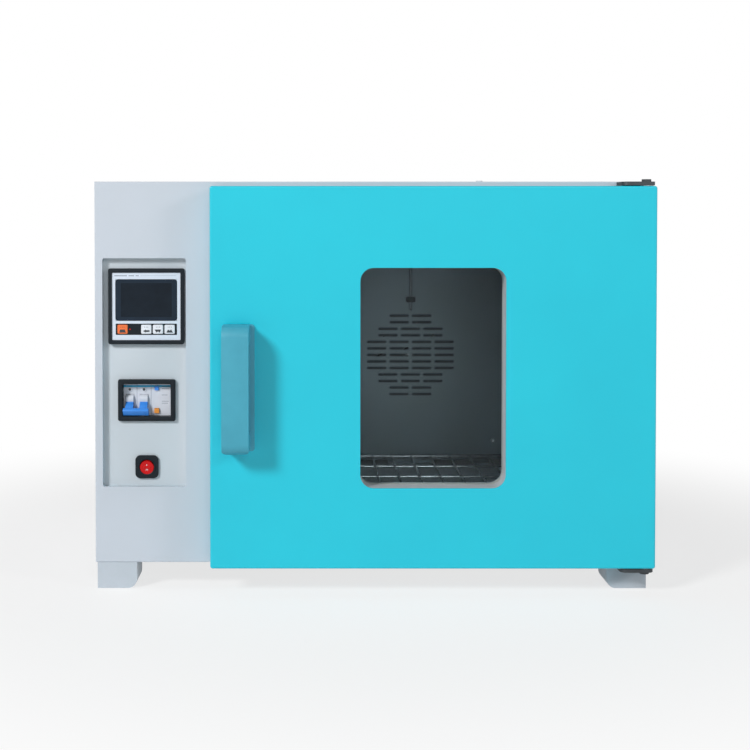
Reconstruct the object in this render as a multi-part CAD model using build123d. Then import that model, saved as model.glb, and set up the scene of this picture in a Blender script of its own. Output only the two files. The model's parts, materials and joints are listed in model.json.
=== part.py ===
"""Hot air sterilizer: a bench-top oven cabinet with a control column and a hinged window door.

Millimetres. X runs to the viewer's right, Y runs back from the door, Z runs up.
The origin is on the table, under the middle of the whole object.
"""

from build123d import *
import math
import os

# Cabinet
foot_h = 33
foot_w = 50
foot_inset = 2.5
foot_round = 12
sheet = 1.5
edge_round = 1.2
fascia_return = 12
rear_flange = 12

# Chamber
chamber_w = 420
chamber_h = 350
chamber_d = 360
chamber_corner = 5
side_wall = 66
floor_wall = 63
roof_wall = 69
liner_sheet = 1.2
liner_flange = 10
rear_wool = 36
left_wool = 44

# Control column
tray_left = 9.5
tray_right = 33
tray_foot = 96
tray_depth = 9
tray_flange = 6
tray_corner = 3
panel_gap = 0.2

# Temperature controller
controller_size = 96
controller_body = 91.4
controller_left = 7.2
controller_right = 2.3
controller_top = 13
bezel_t = 7
bezel_corner = 3
face_w = 86.6
face_h = 85.3
face_t = 2.4
face_sink = 1.2
display_w = 77.5
display_h = 52
display_up = 8
display_t = 1.6
housing_d = 75
key_w = 13
key_h = 11.5
key_proud = 1
key_l = 4.2
key_gap = 0.3
key_down = 29
key_pitch = 14.8
key_first = -30
key_strip_h = 14.3
key_strip_sink = 0.5
key_travel = 0.8

# Circuit breaker behind its window
breaker_view_w = 60.7
breaker_view_h = 41
breaker_border = 6
breaker_frame_t = 5
breaker_frame_tail = 5.7
breaker_rim = 2.5
breaker_up = 109.2
breaker_below = 44.8
breaker_w = 63
breaker_nose_h = 45
breaker_h = 85
breaker_nose_d = 17
breaker_d = 66
breaker_behind = 6
pole_w = 18
lever_w = 10
lever_t = 5
lever_hub_r = 7
lever_sink = 3
lever_in_r = 18
lever_out_r = 23
lever_bar_h = 10
lever_bar_w = 32.4
lever_rest = 45
lever_gap = 0.4
lever_pin_r = 1.5
test_size = 5
reset_size = 6
small_button_proud = 2.5
small_button_l = 6
small_button_rise = 14.4
small_button_x = 43.2
small_button_gap = 0.3
small_button_travel = 2
boss_r = 3
boss_t = 1
rail_h = 35
rail_d = 7.5
rail_t = 1.5
rail_past = 6
bracket_arm = 44
bracket_h = 60

# Power switch
switch_size = 29.2
switch_corner = 6.3
switch_t = 3
switch_hole_r = 9.5
switch_body = 24
switch_body_d = 22
switch_up = 24.2
rocker_r = 8.7
rocker_front = 4.5
rocker_back = 4
rocker_pin_r = 1.5
rocker_rest = 10
rocker_dish_r = 42
rocker_dish = 1

# Door
door_lift = 1
door_under = 6.5
door_t = 34
door_gap = 4
door_round = 2.5
door_corner = 3
window_side = 120
window_end = 38.5
window_r = 16.5
lining_t = 1.5
lining_flange = 9
glass_t = 4
glass_edge = 8
glass_in = 8
plateau = 8
plateau_gap = 3
gasket_w = 12
gasket_in = 6
gasket_gap = 0.3
strike_w = 14
strike_h = 40
strike_t = 1.9
strike_rise = 120
strike_x = 21
catch_proud = 1.7
catch_d = 10

# Hinge
hinge_inset = 11
hinge_back = 21
hinge_pin_r = 4
hinge_head_r = 6
hinge_head_t = 3
hinge_plate_t = 4.5
hinge_plate_w = 41.5
hinge_nose = 10
hinge_top_gap = 1
hinge_flange_t = 2
hinge_flange_w = 22
hinge_flange_h = 36
hinge_screw_pitch = 16
hinge_screw_r = 2.5
hinge_screw_head_r = 4.5
hinge_screw_head_t = 1.2
hinge_screw_l = 6
bush_r = 6
bush_l = 20
bush_flange_r = 9
bush_top_t = 0.7
running_gap = 0.05
press_gap = 0.02

# Sides of small fasteners, studs and wires, and of the holes they pass
hex_sides = 6
hole_sides = 8
head_sides = 12

# Handle
handle_w = 33
handle_h = 157
handle_reach = 42
handle_left = 17
handle_foot = 147
handle_grip_t = 15
handle_leg = 24
handle_outer_r = 14
handle_inner_r = 9
handle_edge = 3.5
handle_base_t = 3
handle_base_edge = 5.5

# Air circulation
duct_sheet = 1.2
duct_gap = 0.5
grille_rows = 13
grille_pitch = 10
grille_column = 34.3
grille_slot = 30
grille_slot_h = 4.2
grille_r = 70
return_slot = 58
return_slot_h = 5
return_far_in = 60
return_near_in = 147
fan_rise = 166
fan_r = 72
fan_eye_r = 50
fan_w = 26
fan_front = 5
fan_behind = 5
fan_sheet = 1.2
fan_blades = 10
fan_blade_root = 44
fan_blade_bow = 38
hub_r = 10
shaft_r = 4
shaft_hole_r = 8
rotor_r = 15.5
rotor_gap = 0.5
stack_w = 58
stack_h = 72
stack_t = 24
stack_behind = 20
coil_w = 36
coil_h = 28
coil_t = 38
yoke_w = 18
yoke_t = 2.5
yoke_off = 8
motor_gap = 1.3
bearing_r = 8
leg_r = 4
blade_span_r = 32
blade_root_r = 8
blade_t = 1.2
blade_w = 18
blade_turn = 20
blade_count = 5
blade_behind = 5
heater_clear = 20
heater_tube_r = 4
heater_gap_deg = 20
heater_in = 20
terminal_r = 7
terminal_l = 10
stud_r = 4
stud_in_x = 84
stud_in_z = 35
stud_tip_r = 2
stud_tip_l = 4
duct_nut_r = 4
duct_nut_t = 3

# Probe
probe_r = 2
probe_off = 4
probe_tip = 234
probe_collar_r = 6
probe_collar_l = 8
probe_above = 30
clip_w = 14
clip_h = 8
clip_rise = 251
clip_t = 1.2

# Shelves and their racks
rack_rail_w = 12
rack_rail_t = 1.5
rack_post_w = 20
rack_post_t = 1.5
rack_first = 9
rack_pitch = 38
rack_top_room = 30
rack_front = 24
rack_back = 6
shelf_frame_w = 4
shelf_frame_h = 6
shelf_wire_r = 1.6
shelf_side_gap = 3
shelf_back_gap = 8
shelf_front_gap = 30
shelf_corner = 12
shelf_wires = 13
shelf_rest_gap = 0.3

# Vent
vent_x = 96
vent_in = 70
vent_r = 20
vent_wall = 1.5
vent_flange_r = 30
vent_flange_t = 1.5
vent_hole_r = 6
vent_hole_ring = 13
vent_holes = 4
vent_pin_r = 3
vent_head_r = 5
vent_head_t = 1.5
damper_r = 27
damper_t = 2.5
damper_grip_w = 7
damper_grip_h = 5

# Rear and inside
rear_reach = 5
rear_slots = 8
rear_slot_w = 70
rear_slot_h = 4
rear_slot_pitch = 11
side_slots = 8
side_slot_w = 60
side_slot_rise = 300
inlet_w = 48
inlet_h = 30
inlet_t = 3
inlet_body_w = 27.5
inlet_body_h = 20
inlet_body_d = 20
inlet_socket_w = 24
inlet_socket_h = 16.5
inlet_socket_d = 16
inlet_pin_w = 2
inlet_pin_h = 4
inlet_pin_l = 13
inlet_pin_pitch = 7
inlet_pin_down = 3.5
inlet_x = 62
inlet_z = 52
rear_screw_r = 2
rear_screw_head_r = 4
rear_screw_head_t = 2
rear_screw_l = 8
earth_head_r = 5
earth_washer_r = 6.5
earth_washer_t = 1
earth_x = 110
relay_w = 28
relay_d = 45
relay_h = 58
sink_t = 5
sink_fin = 20
sink_fin_t = 2
sink_fins = 7
sink_d = 80
sink_h = 100
sink_rise = 200
sink_in = 210
terminal_w = 90
terminal_d = 30
terminal_h = 26
terminal_bays = 6
terminal_bay = 10
terminal_in = 330
terminal_left = 39.4

# Sizes that follow from what a piece holds or seats on
tray_w = controller_left + controller_size + controller_right
column_w = tray_left + tray_w + tray_right
plenum = fan_front + fan_w + fan_behind
motor_bay = stack_behind + stack_t + yoke_off + yoke_t + motor_gap + sheet
cab_w = column_w + chamber_w + 2 * side_wall
cab_h = floor_wall + chamber_h + roof_wall
cab_d = chamber_d + plenum + liner_sheet + rear_wool + sheet + motor_bay
door_w = chamber_w + 2 * side_wall
door_h = cab_h - door_lift - door_under
window_w = chamber_w - 2 * window_side
window_h = chamber_h - 2 * window_end
breaker_frame_w = breaker_view_w + 2 * breaker_border
breaker_frame_h = breaker_view_h + 2 * breaker_border
tray_h = breaker_up + breaker_frame_h / 2 + breaker_below + controller_size + controller_top
heater_r = fan_r + heater_clear
stud_x = chamber_w / 2 - stud_in_x
stud_z = chamber_h / 2 - stud_in_z
rack_levels = int((chamber_h - rack_first - rack_top_room) / rack_pitch) + 1
shelf_d = chamber_d - shelf_front_gap - shelf_back_gap

# Places that follow from the sizes
depth = handle_reach + door_t + door_gap + cab_d + rear_reach
y_face = handle_reach + door_t + door_gap - depth / 2
y_back = y_face + cab_d
y_duct = y_face + chamber_d
y_liner = y_duct + plenum
y_wall = y_liner + liner_sheet + rear_wool + sheet
y_door = y_face - door_gap
y_door_front = y_door - door_t
cab_x = (-cab_w / 2, cab_w / 2)
cab_z = (foot_h, foot_h + cab_h)
chamber_x = (cab_x[1] - side_wall - chamber_w, cab_x[1] - side_wall)
chamber_z = (cab_z[0] + floor_wall, cab_z[0] + floor_wall + chamber_h)
mid_x = sum(chamber_x) / 2
mid_z = sum(chamber_z) / 2
wall_x = chamber_x[0] - liner_sheet - left_wool
tray_x = (cab_x[0] + tray_left, cab_x[0] + tray_left + tray_w)
tray_z = (cab_z[0] + tray_foot, cab_z[0] + tray_foot + tray_h)
y_tray = y_face + tray_depth
door_x = (cab_x[1] - door_w, cab_x[1])
door_z = (cab_z[0] + door_lift, cab_z[0] + door_lift + door_h)
window_x = (mid_x - window_w / 2, mid_x + window_w / 2)
window_z = (mid_z - window_h / 2, mid_z + window_h / 2)
hinge_x = door_x[1] - hinge_inset
hinge_y = y_door - hinge_back
fan_z = chamber_z[0] + fan_rise
controller_x = tray_x[0] + controller_left + controller_size / 2
controller_z = tray_z[1] - controller_top - controller_size / 2
y_bezel = y_tray - bezel_t
breaker_x = tray_x[0] + tray_w / 2 + 2.4
breaker_z = tray_z[0] + breaker_up
y_nose = y_tray + breaker_behind
switch_x = tray_x[0] + tray_w / 2 + 2.25
switch_z = tray_z[0] + switch_up
inner_glass_y = (y_door + plateau - liner_sheet - glass_t, y_door + plateau - liner_sheet)
outer_glass_y = (y_door - glass_in, y_door - glass_in + glass_t)
top_plate_z = (door_z[1] + hinge_top_gap, door_z[1] + hinge_top_gap + hinge_plate_t)
low_plate_z = (door_z[0] - door_lift - hinge_plate_t, door_z[0] - door_lift)


def block(x, y, z):
    """A box between two values on each axis."""
    size = [high - low for low, high in (x, y, z)]
    middle = [(high + low) / 2 for low, high in (x, y, z)]
    return Pos(*middle) * Box(*size)


def outline(u, v, radius=0):
    """A flat rectangle between two values each way, with rounded corners where a radius is given."""
    width = u[1] - u[0]
    height = v[1] - v[0]
    shape = RectangleRounded(width, height, radius) if radius else Rectangle(width, height)
    return Pos((u[0] + u[1]) / 2, (v[0] + v[1]) / 2) * shape


def grow(span, amount):
    """A pair of values moved apart, or together where the amount is negative."""
    return (span[0] - amount, span[1] + amount)


def around(middle, size):
    """The two values that lie half a size to each side of a middle."""
    return (middle - size / 2, middle + size / 2)


def centred(u, v, width, height, radius=0):
    """A flat rectangle about a middle, with rounded corners where a radius is given."""
    return outline(around(u, width), around(v, height), radius)


def along_y(sketch, y):
    """A sketch drawn in X and Z, made solid between two Y values."""
    return extrude(Plane.XZ.offset(-y[1]) * sketch, y[1] - y[0])


def along_z(sketch, z):
    """A sketch drawn in X and Y, made solid between two Z values."""
    return extrude(Plane.XY.offset(z[0]) * sketch, z[1] - z[0])


def along_x(sketch, x):
    """A sketch drawn in Y and Z, made solid between two X values."""
    return extrude(Plane.YZ.offset(x[0]) * sketch, x[1] - x[0])


def section(radius, sides=0):
    """A round rod's section, or a regular polygon's with the given number of sides."""
    return RegularPolygon(radius, sides) if sides else Circle(radius)


def rod_x(y, z, radius, x, sides=0):
    """A round or many-sided rod along X."""
    return along_x(Pos(y, z) * section(radius, sides), x)


def rod_y(x, z, radius, y, sides=0):
    """A round or many-sided rod along Y."""
    return along_y(Pos(x, z) * section(radius, sides), y)


def rod_z(x, y, radius, z, sides=0):
    """A round or many-sided rod along Z."""
    return along_z(Pos(x, y) * section(radius, sides), z)


def ring_y(x, z, outer, inner, y):
    """A round ring along Y."""
    return along_y(Pos(x, z) * (Circle(outer) - Circle(inner)), y)


def arch(u, v, wall):
    """An upside-down U of sheet, drawn between two values each way and open at the bottom."""
    inside = outline(grow(u, -wall), (v[0] - wall, v[1] - wall))
    return outline(u, v) - inside


def heater_ends():
    """Where the heating tube's two ends cross the rear wall, as X and Z."""
    half = math.radians(heater_gap_deg / 2)
    reach = heater_r * math.cos(half)
    rise = heater_r * math.sin(half)
    return [(mid_x + reach, fan_z + rise), (mid_x + reach, fan_z - rise)]


def hinge_screw_places():
    """Heights of the hinge screws: two in each bracket's flange."""
    low = door_z[0] - door_lift + hinge_flange_h / 2
    high = door_z[1] + hinge_top_gap - hinge_flange_h / 2
    half = hinge_screw_pitch / 2
    return [low - half, low + half, high - half, high + half]


def rear_screw_places():
    """Where the screws hold the rear panel, as X and Z."""
    side = cab_w / 2 - sheet - rear_flange / 2
    top = cab_z[1] - sheet - rear_flange / 2
    low = cab_z[0] + sheet + 2 * rear_flange
    return [(-side, top), (0, top), (side, top), (-side, low), (side, low), (-side, mid_z), (side, mid_z)]


hinge_screw_x = hinge_x - hinge_plate_w + hinge_nose + hinge_flange_w / 2
inlet_mid = (cab_x[0] + inlet_x, cab_z[0] + inlet_z)
earth_mid = (cab_x[0] + earth_x, cab_z[0] + inlet_z)
vent_mid = (mid_x + vent_x, y_duct - vent_in)
catch_x = around(door_x[0] + strike_x, strike_w)


# Cabinet shell
def outer_casing():
    """Top and both sides in one bent sheet, with an inward flange at the rear and side vents."""
    shell = along_y(arch(cab_x, cab_z, sheet), (y_face + sheet, y_back))
    shell = fillet(shell.edges().filter_by(Axis.Y).group_by(Axis.Z)[-1], edge_round)
    inside = (cab_z[0] + sheet, cab_z[1] - sheet)
    lip = arch(grow(cab_x, -sheet), inside, rear_flange)
    shell += along_y(lip, (y_back - 2 * sheet, y_back - sheet))
    shell -= rod_z(*vent_mid, vent_r + panel_gap, (cab_z[1] - 2 * sheet, cab_z[1] + sheet), head_sides)
    for x, z in rear_screw_places():
        shell -= rod_y(x, z, rear_screw_r + press_gap, (y_back - 3 * sheet, y_back), hex_sides)
    for index in range(side_slots):
        z = cab_z[0] + side_slot_rise - index * rear_slot_pitch
        slot = around(y_face + cab_d / 3, side_slot_w)
        shell -= block(grow((cab_x[0], cab_x[0]), 2 * sheet), slot, around(z, rear_slot_h))
    return shell


def front_fascia():
    """The painted front sheet, open at the chamber and the control tray, with a return on three sides."""
    face = outline(cab_x, cab_z)
    face -= outline(chamber_x, chamber_z, chamber_corner)
    face -= outline(tray_x, tray_z, tray_corner)
    for z in hinge_screw_places():
        face -= Pos(hinge_screw_x, z) * section(hinge_screw_r + press_gap, hex_sides)
    for z in (mid_z - strike_rise, mid_z + strike_rise):
        face -= outline(grow(catch_x, panel_gap), grow(around(z, strike_h), panel_gap))
    plate = along_y(face, (y_face, y_face + sheet))
    rim = plate.edges().group_by(Axis.Y)[0]
    outer_rim = [e for e in rim if max(abs(e.center().X), abs(e.center().Z - sum(cab_z) / 2)) > cab_h / 2 - 1]
    outer_rim = [e for e in outer_rim if e.length > min(cab_w, cab_h) - 1]
    plate = fillet(outer_rim, edge_round)
    turned = arch(grow(cab_x, -sheet), (cab_z[0] + sheet, cab_z[1] - sheet), sheet)
    return plate + along_y(turned, (y_face + sheet, y_face + sheet + fascia_return))


def base_pan():
    """The floor sheet, with upturned sides."""
    wide = grow(cab_x, -sheet)
    pan = block(wide, (y_face + sheet, y_back - sheet), (cab_z[0], cab_z[0] + sheet))
    start = y_face + sheet + fascia_return + panel_gap
    for x in ((wide[0], wide[0] + sheet), (wide[1] - sheet, wide[1])):
        pan += block(x, (start, y_back - 2 * sheet - panel_gap), (cab_z[0], cab_z[0] + fascia_return))
    return pan


def rear_panel():
    """The removable back, with cooling slots, the power inlet's cut-out and screw holes."""
    face = outline(grow(cab_x, -sheet), (cab_z[0], cab_z[1] - sheet))
    face -= centred(*inlet_mid, inlet_body_w + 2 * panel_gap, inlet_body_h + 2 * panel_gap)
    for x, z in rear_screw_places() + [earth_mid]:
        face -= Pos(x, z) * section(rear_screw_r + press_gap, hex_sides)
    for column in (-1, 1):
        for row in range(rear_slots):
            x = mid_x + column * (rear_slot_w + rear_slot_pitch) / 2
            z = fan_z + (row - (rear_slots - 1) / 2) * rear_slot_pitch
            face -= outline(around(x, rear_slot_w), around(z, rear_slot_h))
    return along_y(face, (y_back - sheet, y_back))


def feet():
    """Four moulded blocks with a rounded inner lower edge."""
    blocks = Part()
    for side in (-1, 1):
        outer = side * (cab_w / 2 - foot_inset)
        inner = outer - side * foot_w
        for y in ((y_face, y_face + foot_w), (y_back - foot_w, y_back)):
            foot = block((min(outer, inner), max(outer, inner)), y, (0, foot_h))
            low_edges = foot.edges().filter_by(Axis.Y).group_by(Axis.Z)[0]
            foot = fillet(low_edges.sort_by(Axis.X)[0 if side > 0 else -1], foot_round)
            blocks += foot
    return blocks


def compartment_partition():
    """One bent sheet that walls the wool off from the control bay at the left and the motor bay behind."""
    front = y_face + sheet + fascia_return + panel_gap
    right = cab_x[1] - 2 * sheet
    plan = outline((wall_x - sheet, wall_x), (front, y_wall))
    plan += outline((wall_x - sheet, right), (y_wall - sheet, y_wall))
    wall = along_z(plan, (cab_z[0] + sheet, cab_z[1] - sheet))
    wall -= rod_y(mid_x, fan_z, shaft_hole_r, (y_wall - 2 * sheet, y_wall + sheet), head_sides)
    for x, z in heater_ends():
        wall -= rod_y(x, z, heater_tube_r + panel_gap, (y_wall - 2 * sheet, y_wall + sheet), hole_sides)
    return wall


def cabinet_insulation():
    """Mineral wool packed round the liner, bored for what crosses it."""
    front = y_face + sheet + fascia_return + panel_gap
    wool = block((wall_x, cab_x[1] - 2 * sheet), (front, y_wall - sheet), grow(cab_z, -sheet))
    skin = liner_sheet + panel_gap
    hollow = outline(grow(chamber_x, skin), grow(chamber_z, skin), chamber_corner + skin)
    wool -= along_y(hollow, (front - sheet, y_liner + skin))
    wool -= rod_y(mid_x, fan_z, shaft_hole_r, (y_liner, y_wall), head_sides)
    for x, z in heater_ends():
        wool -= rod_y(x, z, heater_tube_r + panel_gap, (y_liner, y_wall), hole_sides)
    above = (chamber_z[1], cab_z[1])
    wool -= rod_z(mid_x, y_duct - probe_off, probe_collar_r + panel_gap, above, hex_sides)
    return wool - rod_z(*vent_mid, vent_r + panel_gap, above, head_sides)


# Chamber
def chamber_liner():
    """The stainless box with its front flange and the four studs that carry the duct plate."""
    corner = chamber_corner + liner_sheet
    outer = outline(grow(chamber_x, liner_sheet), grow(chamber_z, liner_sheet), corner)
    inner = outline(chamber_x, chamber_z, chamber_corner)
    brim_corner = chamber_corner + liner_flange
    brim = outline(grow(chamber_x, liner_flange), grow(chamber_z, liner_flange), brim_corner)
    liner = along_y(outer - inner, (y_face + sheet, y_liner))
    liner += along_y(brim - inner, (y_face + sheet, y_face + sheet + liner_sheet))
    liner += along_y(outer, (y_liner, y_liner + liner_sheet))
    for x in (mid_x - stud_x, mid_x + stud_x):
        for z in (mid_z - stud_z, mid_z + stud_z):
            liner += rod_y(x, z, stud_r, (y_duct + duct_sheet, y_liner), hex_sides)
            liner += rod_y(x, z, stud_tip_r, (y_duct - stud_tip_l, y_duct + duct_sheet), hex_sides)
    through = (y_liner - liner_sheet, y_liner + 2 * liner_sheet)
    liner -= rod_y(mid_x, fan_z, shaft_hole_r, through, head_sides)
    for x, z in heater_ends():
        liner -= rod_y(x, z, heater_tube_r + panel_gap, through, hole_sides)
    above = (chamber_z[1] - liner_sheet, chamber_z[1] + 2 * liner_sheet)
    liner -= rod_z(mid_x, y_duct - probe_off, probe_r + panel_gap, above, hole_sides)
    return liner - rod_z(*vent_mid, vent_r + panel_gap, above, head_sides)


def grille_places():
    """Middles of the duct plate's slots: rows that fill a circle, each as many slots as fit its chord."""
    places = []
    for row in range(grille_rows):
        rise = (row - (grille_rows - 1) / 2) * grille_pitch
        if abs(rise) >= grille_r:
            continue
        chord = 2 * math.sqrt(grille_r**2 - rise**2)
        count = int((chord + grille_column - grille_slot) / grille_column)
        for index in range(count):
            places.append((mid_x + (index - (count - 1) / 2) * grille_column, fan_z + rise))
    return places


def air_duct_plate():
    """The slotted plate in front of the fan, with side returns and air slots at its top and bottom edges."""
    wide = grow(chamber_x, -duct_gap)
    high = grow(chamber_z, -duct_gap)
    face = outline(wide, high, chamber_corner)
    for x, z in grille_places():
        face -= Pos(x, z) * Rectangle(grille_slot, grille_slot_h)
    far = chamber_w / 2 - return_far_in
    near = chamber_w / 2 - return_near_in
    for offset in (-far, -near, near, far):
        for edge in high:
            face -= outline(around(mid_x + offset, return_slot), around(edge, 2 * return_slot_h))
    for x in (mid_x - stud_x, mid_x + stud_x):
        for z in (mid_z - stud_z, mid_z + stud_z):
            face -= Pos(x, z) * section(stud_tip_r + press_gap, hex_sides)
    plate = along_y(face, (y_duct, y_duct + duct_sheet))
    tall = grow(high, -2 * chamber_corner)
    for x in ((wide[0], wide[0] + duct_sheet), (wide[1] - duct_sheet, wide[1])):
        plate += block(x, (y_duct, y_liner - duct_gap), tall)
    return plate


def duct_plate_nuts():
    """Four hexagon nuts on the studs' tips."""
    nuts = Part()
    for x in (mid_x - stud_x, mid_x + stud_x):
        for z in (mid_z - stud_z, mid_z + stud_z):
            nut = section(duct_nut_r, hex_sides) - section(stud_tip_r + press_gap, hex_sides)
            nuts += along_y(Pos(x, z) * nut, (y_duct - duct_nut_t, y_duct))
    return nuts


def shelf_rack(side):
    """A side rack: two posts against the liner's wall and a ledge for each shelf level."""
    wall = chamber_x[0] if side < 0 else chamber_x[1]
    far = wall - side * rack_rail_w
    near = wall - side * rack_post_t
    rail_x = (min(wall, far), max(wall, far))
    post_x = (min(wall, near), max(wall, near))
    y = (y_face + rack_front, y_duct - rack_back)
    low = chamber_z[0] + chamber_corner
    top = chamber_z[0] + rack_first + (rack_levels - 1) * rack_pitch
    rack = block(post_x, (y[0], y[0] + rack_post_w), (low, top))
    rack += block(post_x, (y[1] - rack_post_w, y[1]), (low, top))
    for level in range(rack_levels):
        z = chamber_z[0] + rack_first + level * rack_pitch
        rack += block(rail_x, y, (z - rack_rail_t, z))
    return rack


def shelf_racks():
    """The left and right racks."""
    return shelf_rack(-1) + shelf_rack(1)


def wire_shelf(level):
    """A wire shelf: a round-cornered frame with wires across its depth and one stiffener."""
    x = grow(chamber_x, -shelf_side_gap)
    y = (y_duct - shelf_back_gap - shelf_d, y_duct - shelf_back_gap)
    low = chamber_z[0] + rack_first + level * rack_pitch + shelf_rest_gap
    inner_x = grow(x, -shelf_frame_w)
    inner_y = grow(y, -shelf_frame_w)
    loop = outline(x, y, shelf_corner) - outline(inner_x, inner_y, shelf_corner - shelf_frame_w)
    frame = along_z(loop, (low, low + shelf_frame_h))
    z = low + shelf_frame_h / 2
    for index in range(shelf_wires):
        place = inner_x[0] + (index + 1) * (inner_x[1] - inner_x[0]) / (shelf_wires + 1)
        frame += rod_y(place, z, shelf_wire_r, inner_y, hex_sides)
    return frame + block(inner_x, around(sum(y) / 2, shelf_frame_w), (low, z))


# Heater and fan
def heater_ring():
    """A sheathed heating tube bent round the fan, with its two ends straight back through the wall."""
    y = y_duct + heater_in
    first = heater_ends()[0]
    lean = math.radians(heater_gap_deg / 2)
    tangent = (-math.sin(lean), 0, math.cos(lean))
    start = Plane(origin=(first[0], y, first[1]), z_dir=tangent)
    turn = Axis((mid_x, y, fan_z), (0, -1, 0))
    tube = revolve(start * section(heater_tube_r, hole_sides), turn, 360 - heater_gap_deg)
    for x, z in heater_ends():
        tube += rod_y(x, z, heater_tube_r, (y - heater_tube_r, y_wall + terminal_l), hole_sides)
    return tube


def heater_terminals():
    """Ceramic bushes on the tube's ends, seated on the rear wall."""
    bushes = Part()
    for x, z in heater_ends():
        bush = section(terminal_r, head_sides) - section(heater_tube_r + press_gap, hole_sides)
        bushes += along_y(Pos(x, z) * bush, (y_wall, y_wall + terminal_l))
    return bushes


def impeller_blade(y):
    """One backward-curved blade between the fan's disc and its ring."""
    bow = Circle(fan_blade_bow) - Circle(fan_blade_bow - fan_sheet)
    reach = Circle(fan_r - fan_sheet) - Circle(fan_blade_root)
    middle = (fan_r + fan_blade_root) / 2
    curve = (Pos(middle, -fan_blade_bow * math.cos(math.radians(28))) * bow) & reach
    blade = curve & outline((0, fan_r), (-fan_r / 3, fan_r))
    return Pos(mid_x, 0, fan_z) * along_y(blade, y)


def fan_impeller():
    """The centrifugal wheel: back disc, front ring, curved blades and hub."""
    front = y_duct + fan_front
    back = front + fan_w
    wheel = ring_y(mid_x, fan_z, fan_r, hub_r / 2, (back - fan_sheet, back))
    wheel += ring_y(mid_x, fan_z, fan_r, fan_eye_r, (front, front + fan_sheet))
    wheel += rod_y(mid_x, fan_z, hub_r, (front + fan_w / 3, back))
    blade = impeller_blade((front + fan_sheet, back - fan_sheet))
    spin = Axis((mid_x, 0, fan_z), (0, 1, 0))
    for index in range(fan_blades):
        wheel += blade.rotate(spin, index * 360 / fan_blades)
    return wheel - rod_y(mid_x, fan_z, shaft_r + press_gap, (front, back + 1))


def fan_shaft():
    """The motor shaft with its rotor."""
    stack = y_wall + stack_behind
    end = stack + stack_t + yoke_off + yoke_t
    shaft = rod_y(mid_x, fan_z, shaft_r, (y_duct + fan_front + fan_w / 3 + 1, end))
    return shaft + rod_y(mid_x, fan_z, rotor_r, (stack, stack + stack_t), head_sides)


def cooling_blade():
    """A small sheet-metal fan that cools the motor, with twisted paddles."""
    y = y_wall + blade_behind
    hub = rod_y(mid_x, fan_z, blade_root_r, around(y, 2 * blade_t), head_sides)
    paddle = block((blade_root_r / 2, blade_span_r), around(0, blade_t), around(0, blade_w))
    paddle = Pos(mid_x, y, fan_z) * (Rot(X=blade_turn) * paddle)
    spin = Axis((mid_x, 0, fan_z), (0, 1, 0))
    for index in range(blade_count):
        hub += paddle.rotate(spin, index * 360 / blade_count)
    return hub - rod_y(mid_x, fan_z, shaft_r + press_gap, around(y, blade_w))


def fan_motor():
    """A shaded-pole motor: iron stack, coil, two bearing yokes and four legs on the rear wall."""
    stack = (y_wall + stack_behind, y_wall + stack_behind + stack_t)
    motor = block(around(mid_x, stack_w), stack, around(fan_z, stack_h))
    coil_y = around(sum(stack) / 2, coil_t)
    motor += block(around(mid_x, coil_w), coil_y, around(fan_z - stack_h / 2, coil_h))
    motor -= rod_y(mid_x, fan_z, rotor_r + rotor_gap, grow(stack, 1))
    for face, away in ((stack[0], -1), (stack[1], 1)):
        far = face + away * (yoke_off + yoke_t)
        near = face + away * yoke_off
        yoke = block(around(mid_x, stack_w), (min(near, far), max(near, far)), around(fan_z, yoke_w))
        root = face + away * yoke_t
        yoke += rod_y(mid_x, fan_z, bearing_r, (min(root, far), max(root, far)), hole_sides)
        for side in (-1, 1):
            x = mid_x + side * (stack_w - yoke_t) / 2
            yoke += block(around(x, yoke_t), (min(face, far), max(face, far)), around(fan_z, yoke_w))
        motor += yoke
    motor -= rod_y(mid_x, fan_z, shaft_r + running_gap, (stack[0] - stack_behind, stack[1] + stack_behind))
    for x in around(mid_x, stack_w - 2 * leg_r):
        for z in around(fan_z, stack_h - 2 * leg_r):
            motor += rod_y(x, z, leg_r, (y_wall, stack[0]), hex_sides)
    return motor


# Probe
def temperature_probe():
    """A sheathed probe that hangs from the chamber roof in front of the duct plate."""
    y = y_duct - probe_off
    tip = chamber_z[0] + probe_tip
    roof = chamber_z[1] + liner_sheet
    sheath = rod_z(mid_x, y, probe_r, (tip, roof + probe_above))
    return sheath + rod_z(mid_x, y, probe_collar_r, (roof, roof + probe_collar_l), hex_sides)


def probe_clip():
    """A small strap that holds the probe to the duct plate."""
    y = (y_duct - probe_off - probe_r - clip_t, y_duct)
    z = around(chamber_z[0] + clip_rise, clip_h)
    strap = block(around(mid_x, clip_w), y, z)
    return strap - rod_z(mid_x, y_duct - probe_off, probe_r + press_gap, grow(z, 1))


# Control column
def control_tray():
    """The sunk pan in the fascia, with cut-outs for the controller, breaker and switch."""
    inside = outline(tray_x, tray_z, tray_corner)
    wall = outline(grow(tray_x, sheet), grow(tray_z, sheet), tray_corner + sheet)
    brim = outline(grow(tray_x, tray_flange), grow(tray_z, tray_flange), tray_corner)
    gap = 2 * panel_gap
    tail = 2 * breaker_rim + gap
    floor = wall - centred(controller_x, controller_z, controller_body + gap, controller_body + gap)
    floor -= centred(breaker_x, breaker_z, breaker_view_w + tail, breaker_view_h + tail)
    floor -= centred(switch_x, switch_z, switch_body + gap, switch_body + gap)
    tray = along_y(wall - inside, (y_face + sheet, y_tray))
    tray += along_y(brim - inside, (y_face + sheet, y_face + 2 * sheet))
    return tray + along_y(floor, (y_tray, y_tray + sheet))


def key_places():
    """Middles of the controller's four keys, across the strip."""
    first = controller_x + key_first
    rest = [controller_x + index * key_pitch for index in range(3)]
    return [first] + rest


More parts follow.
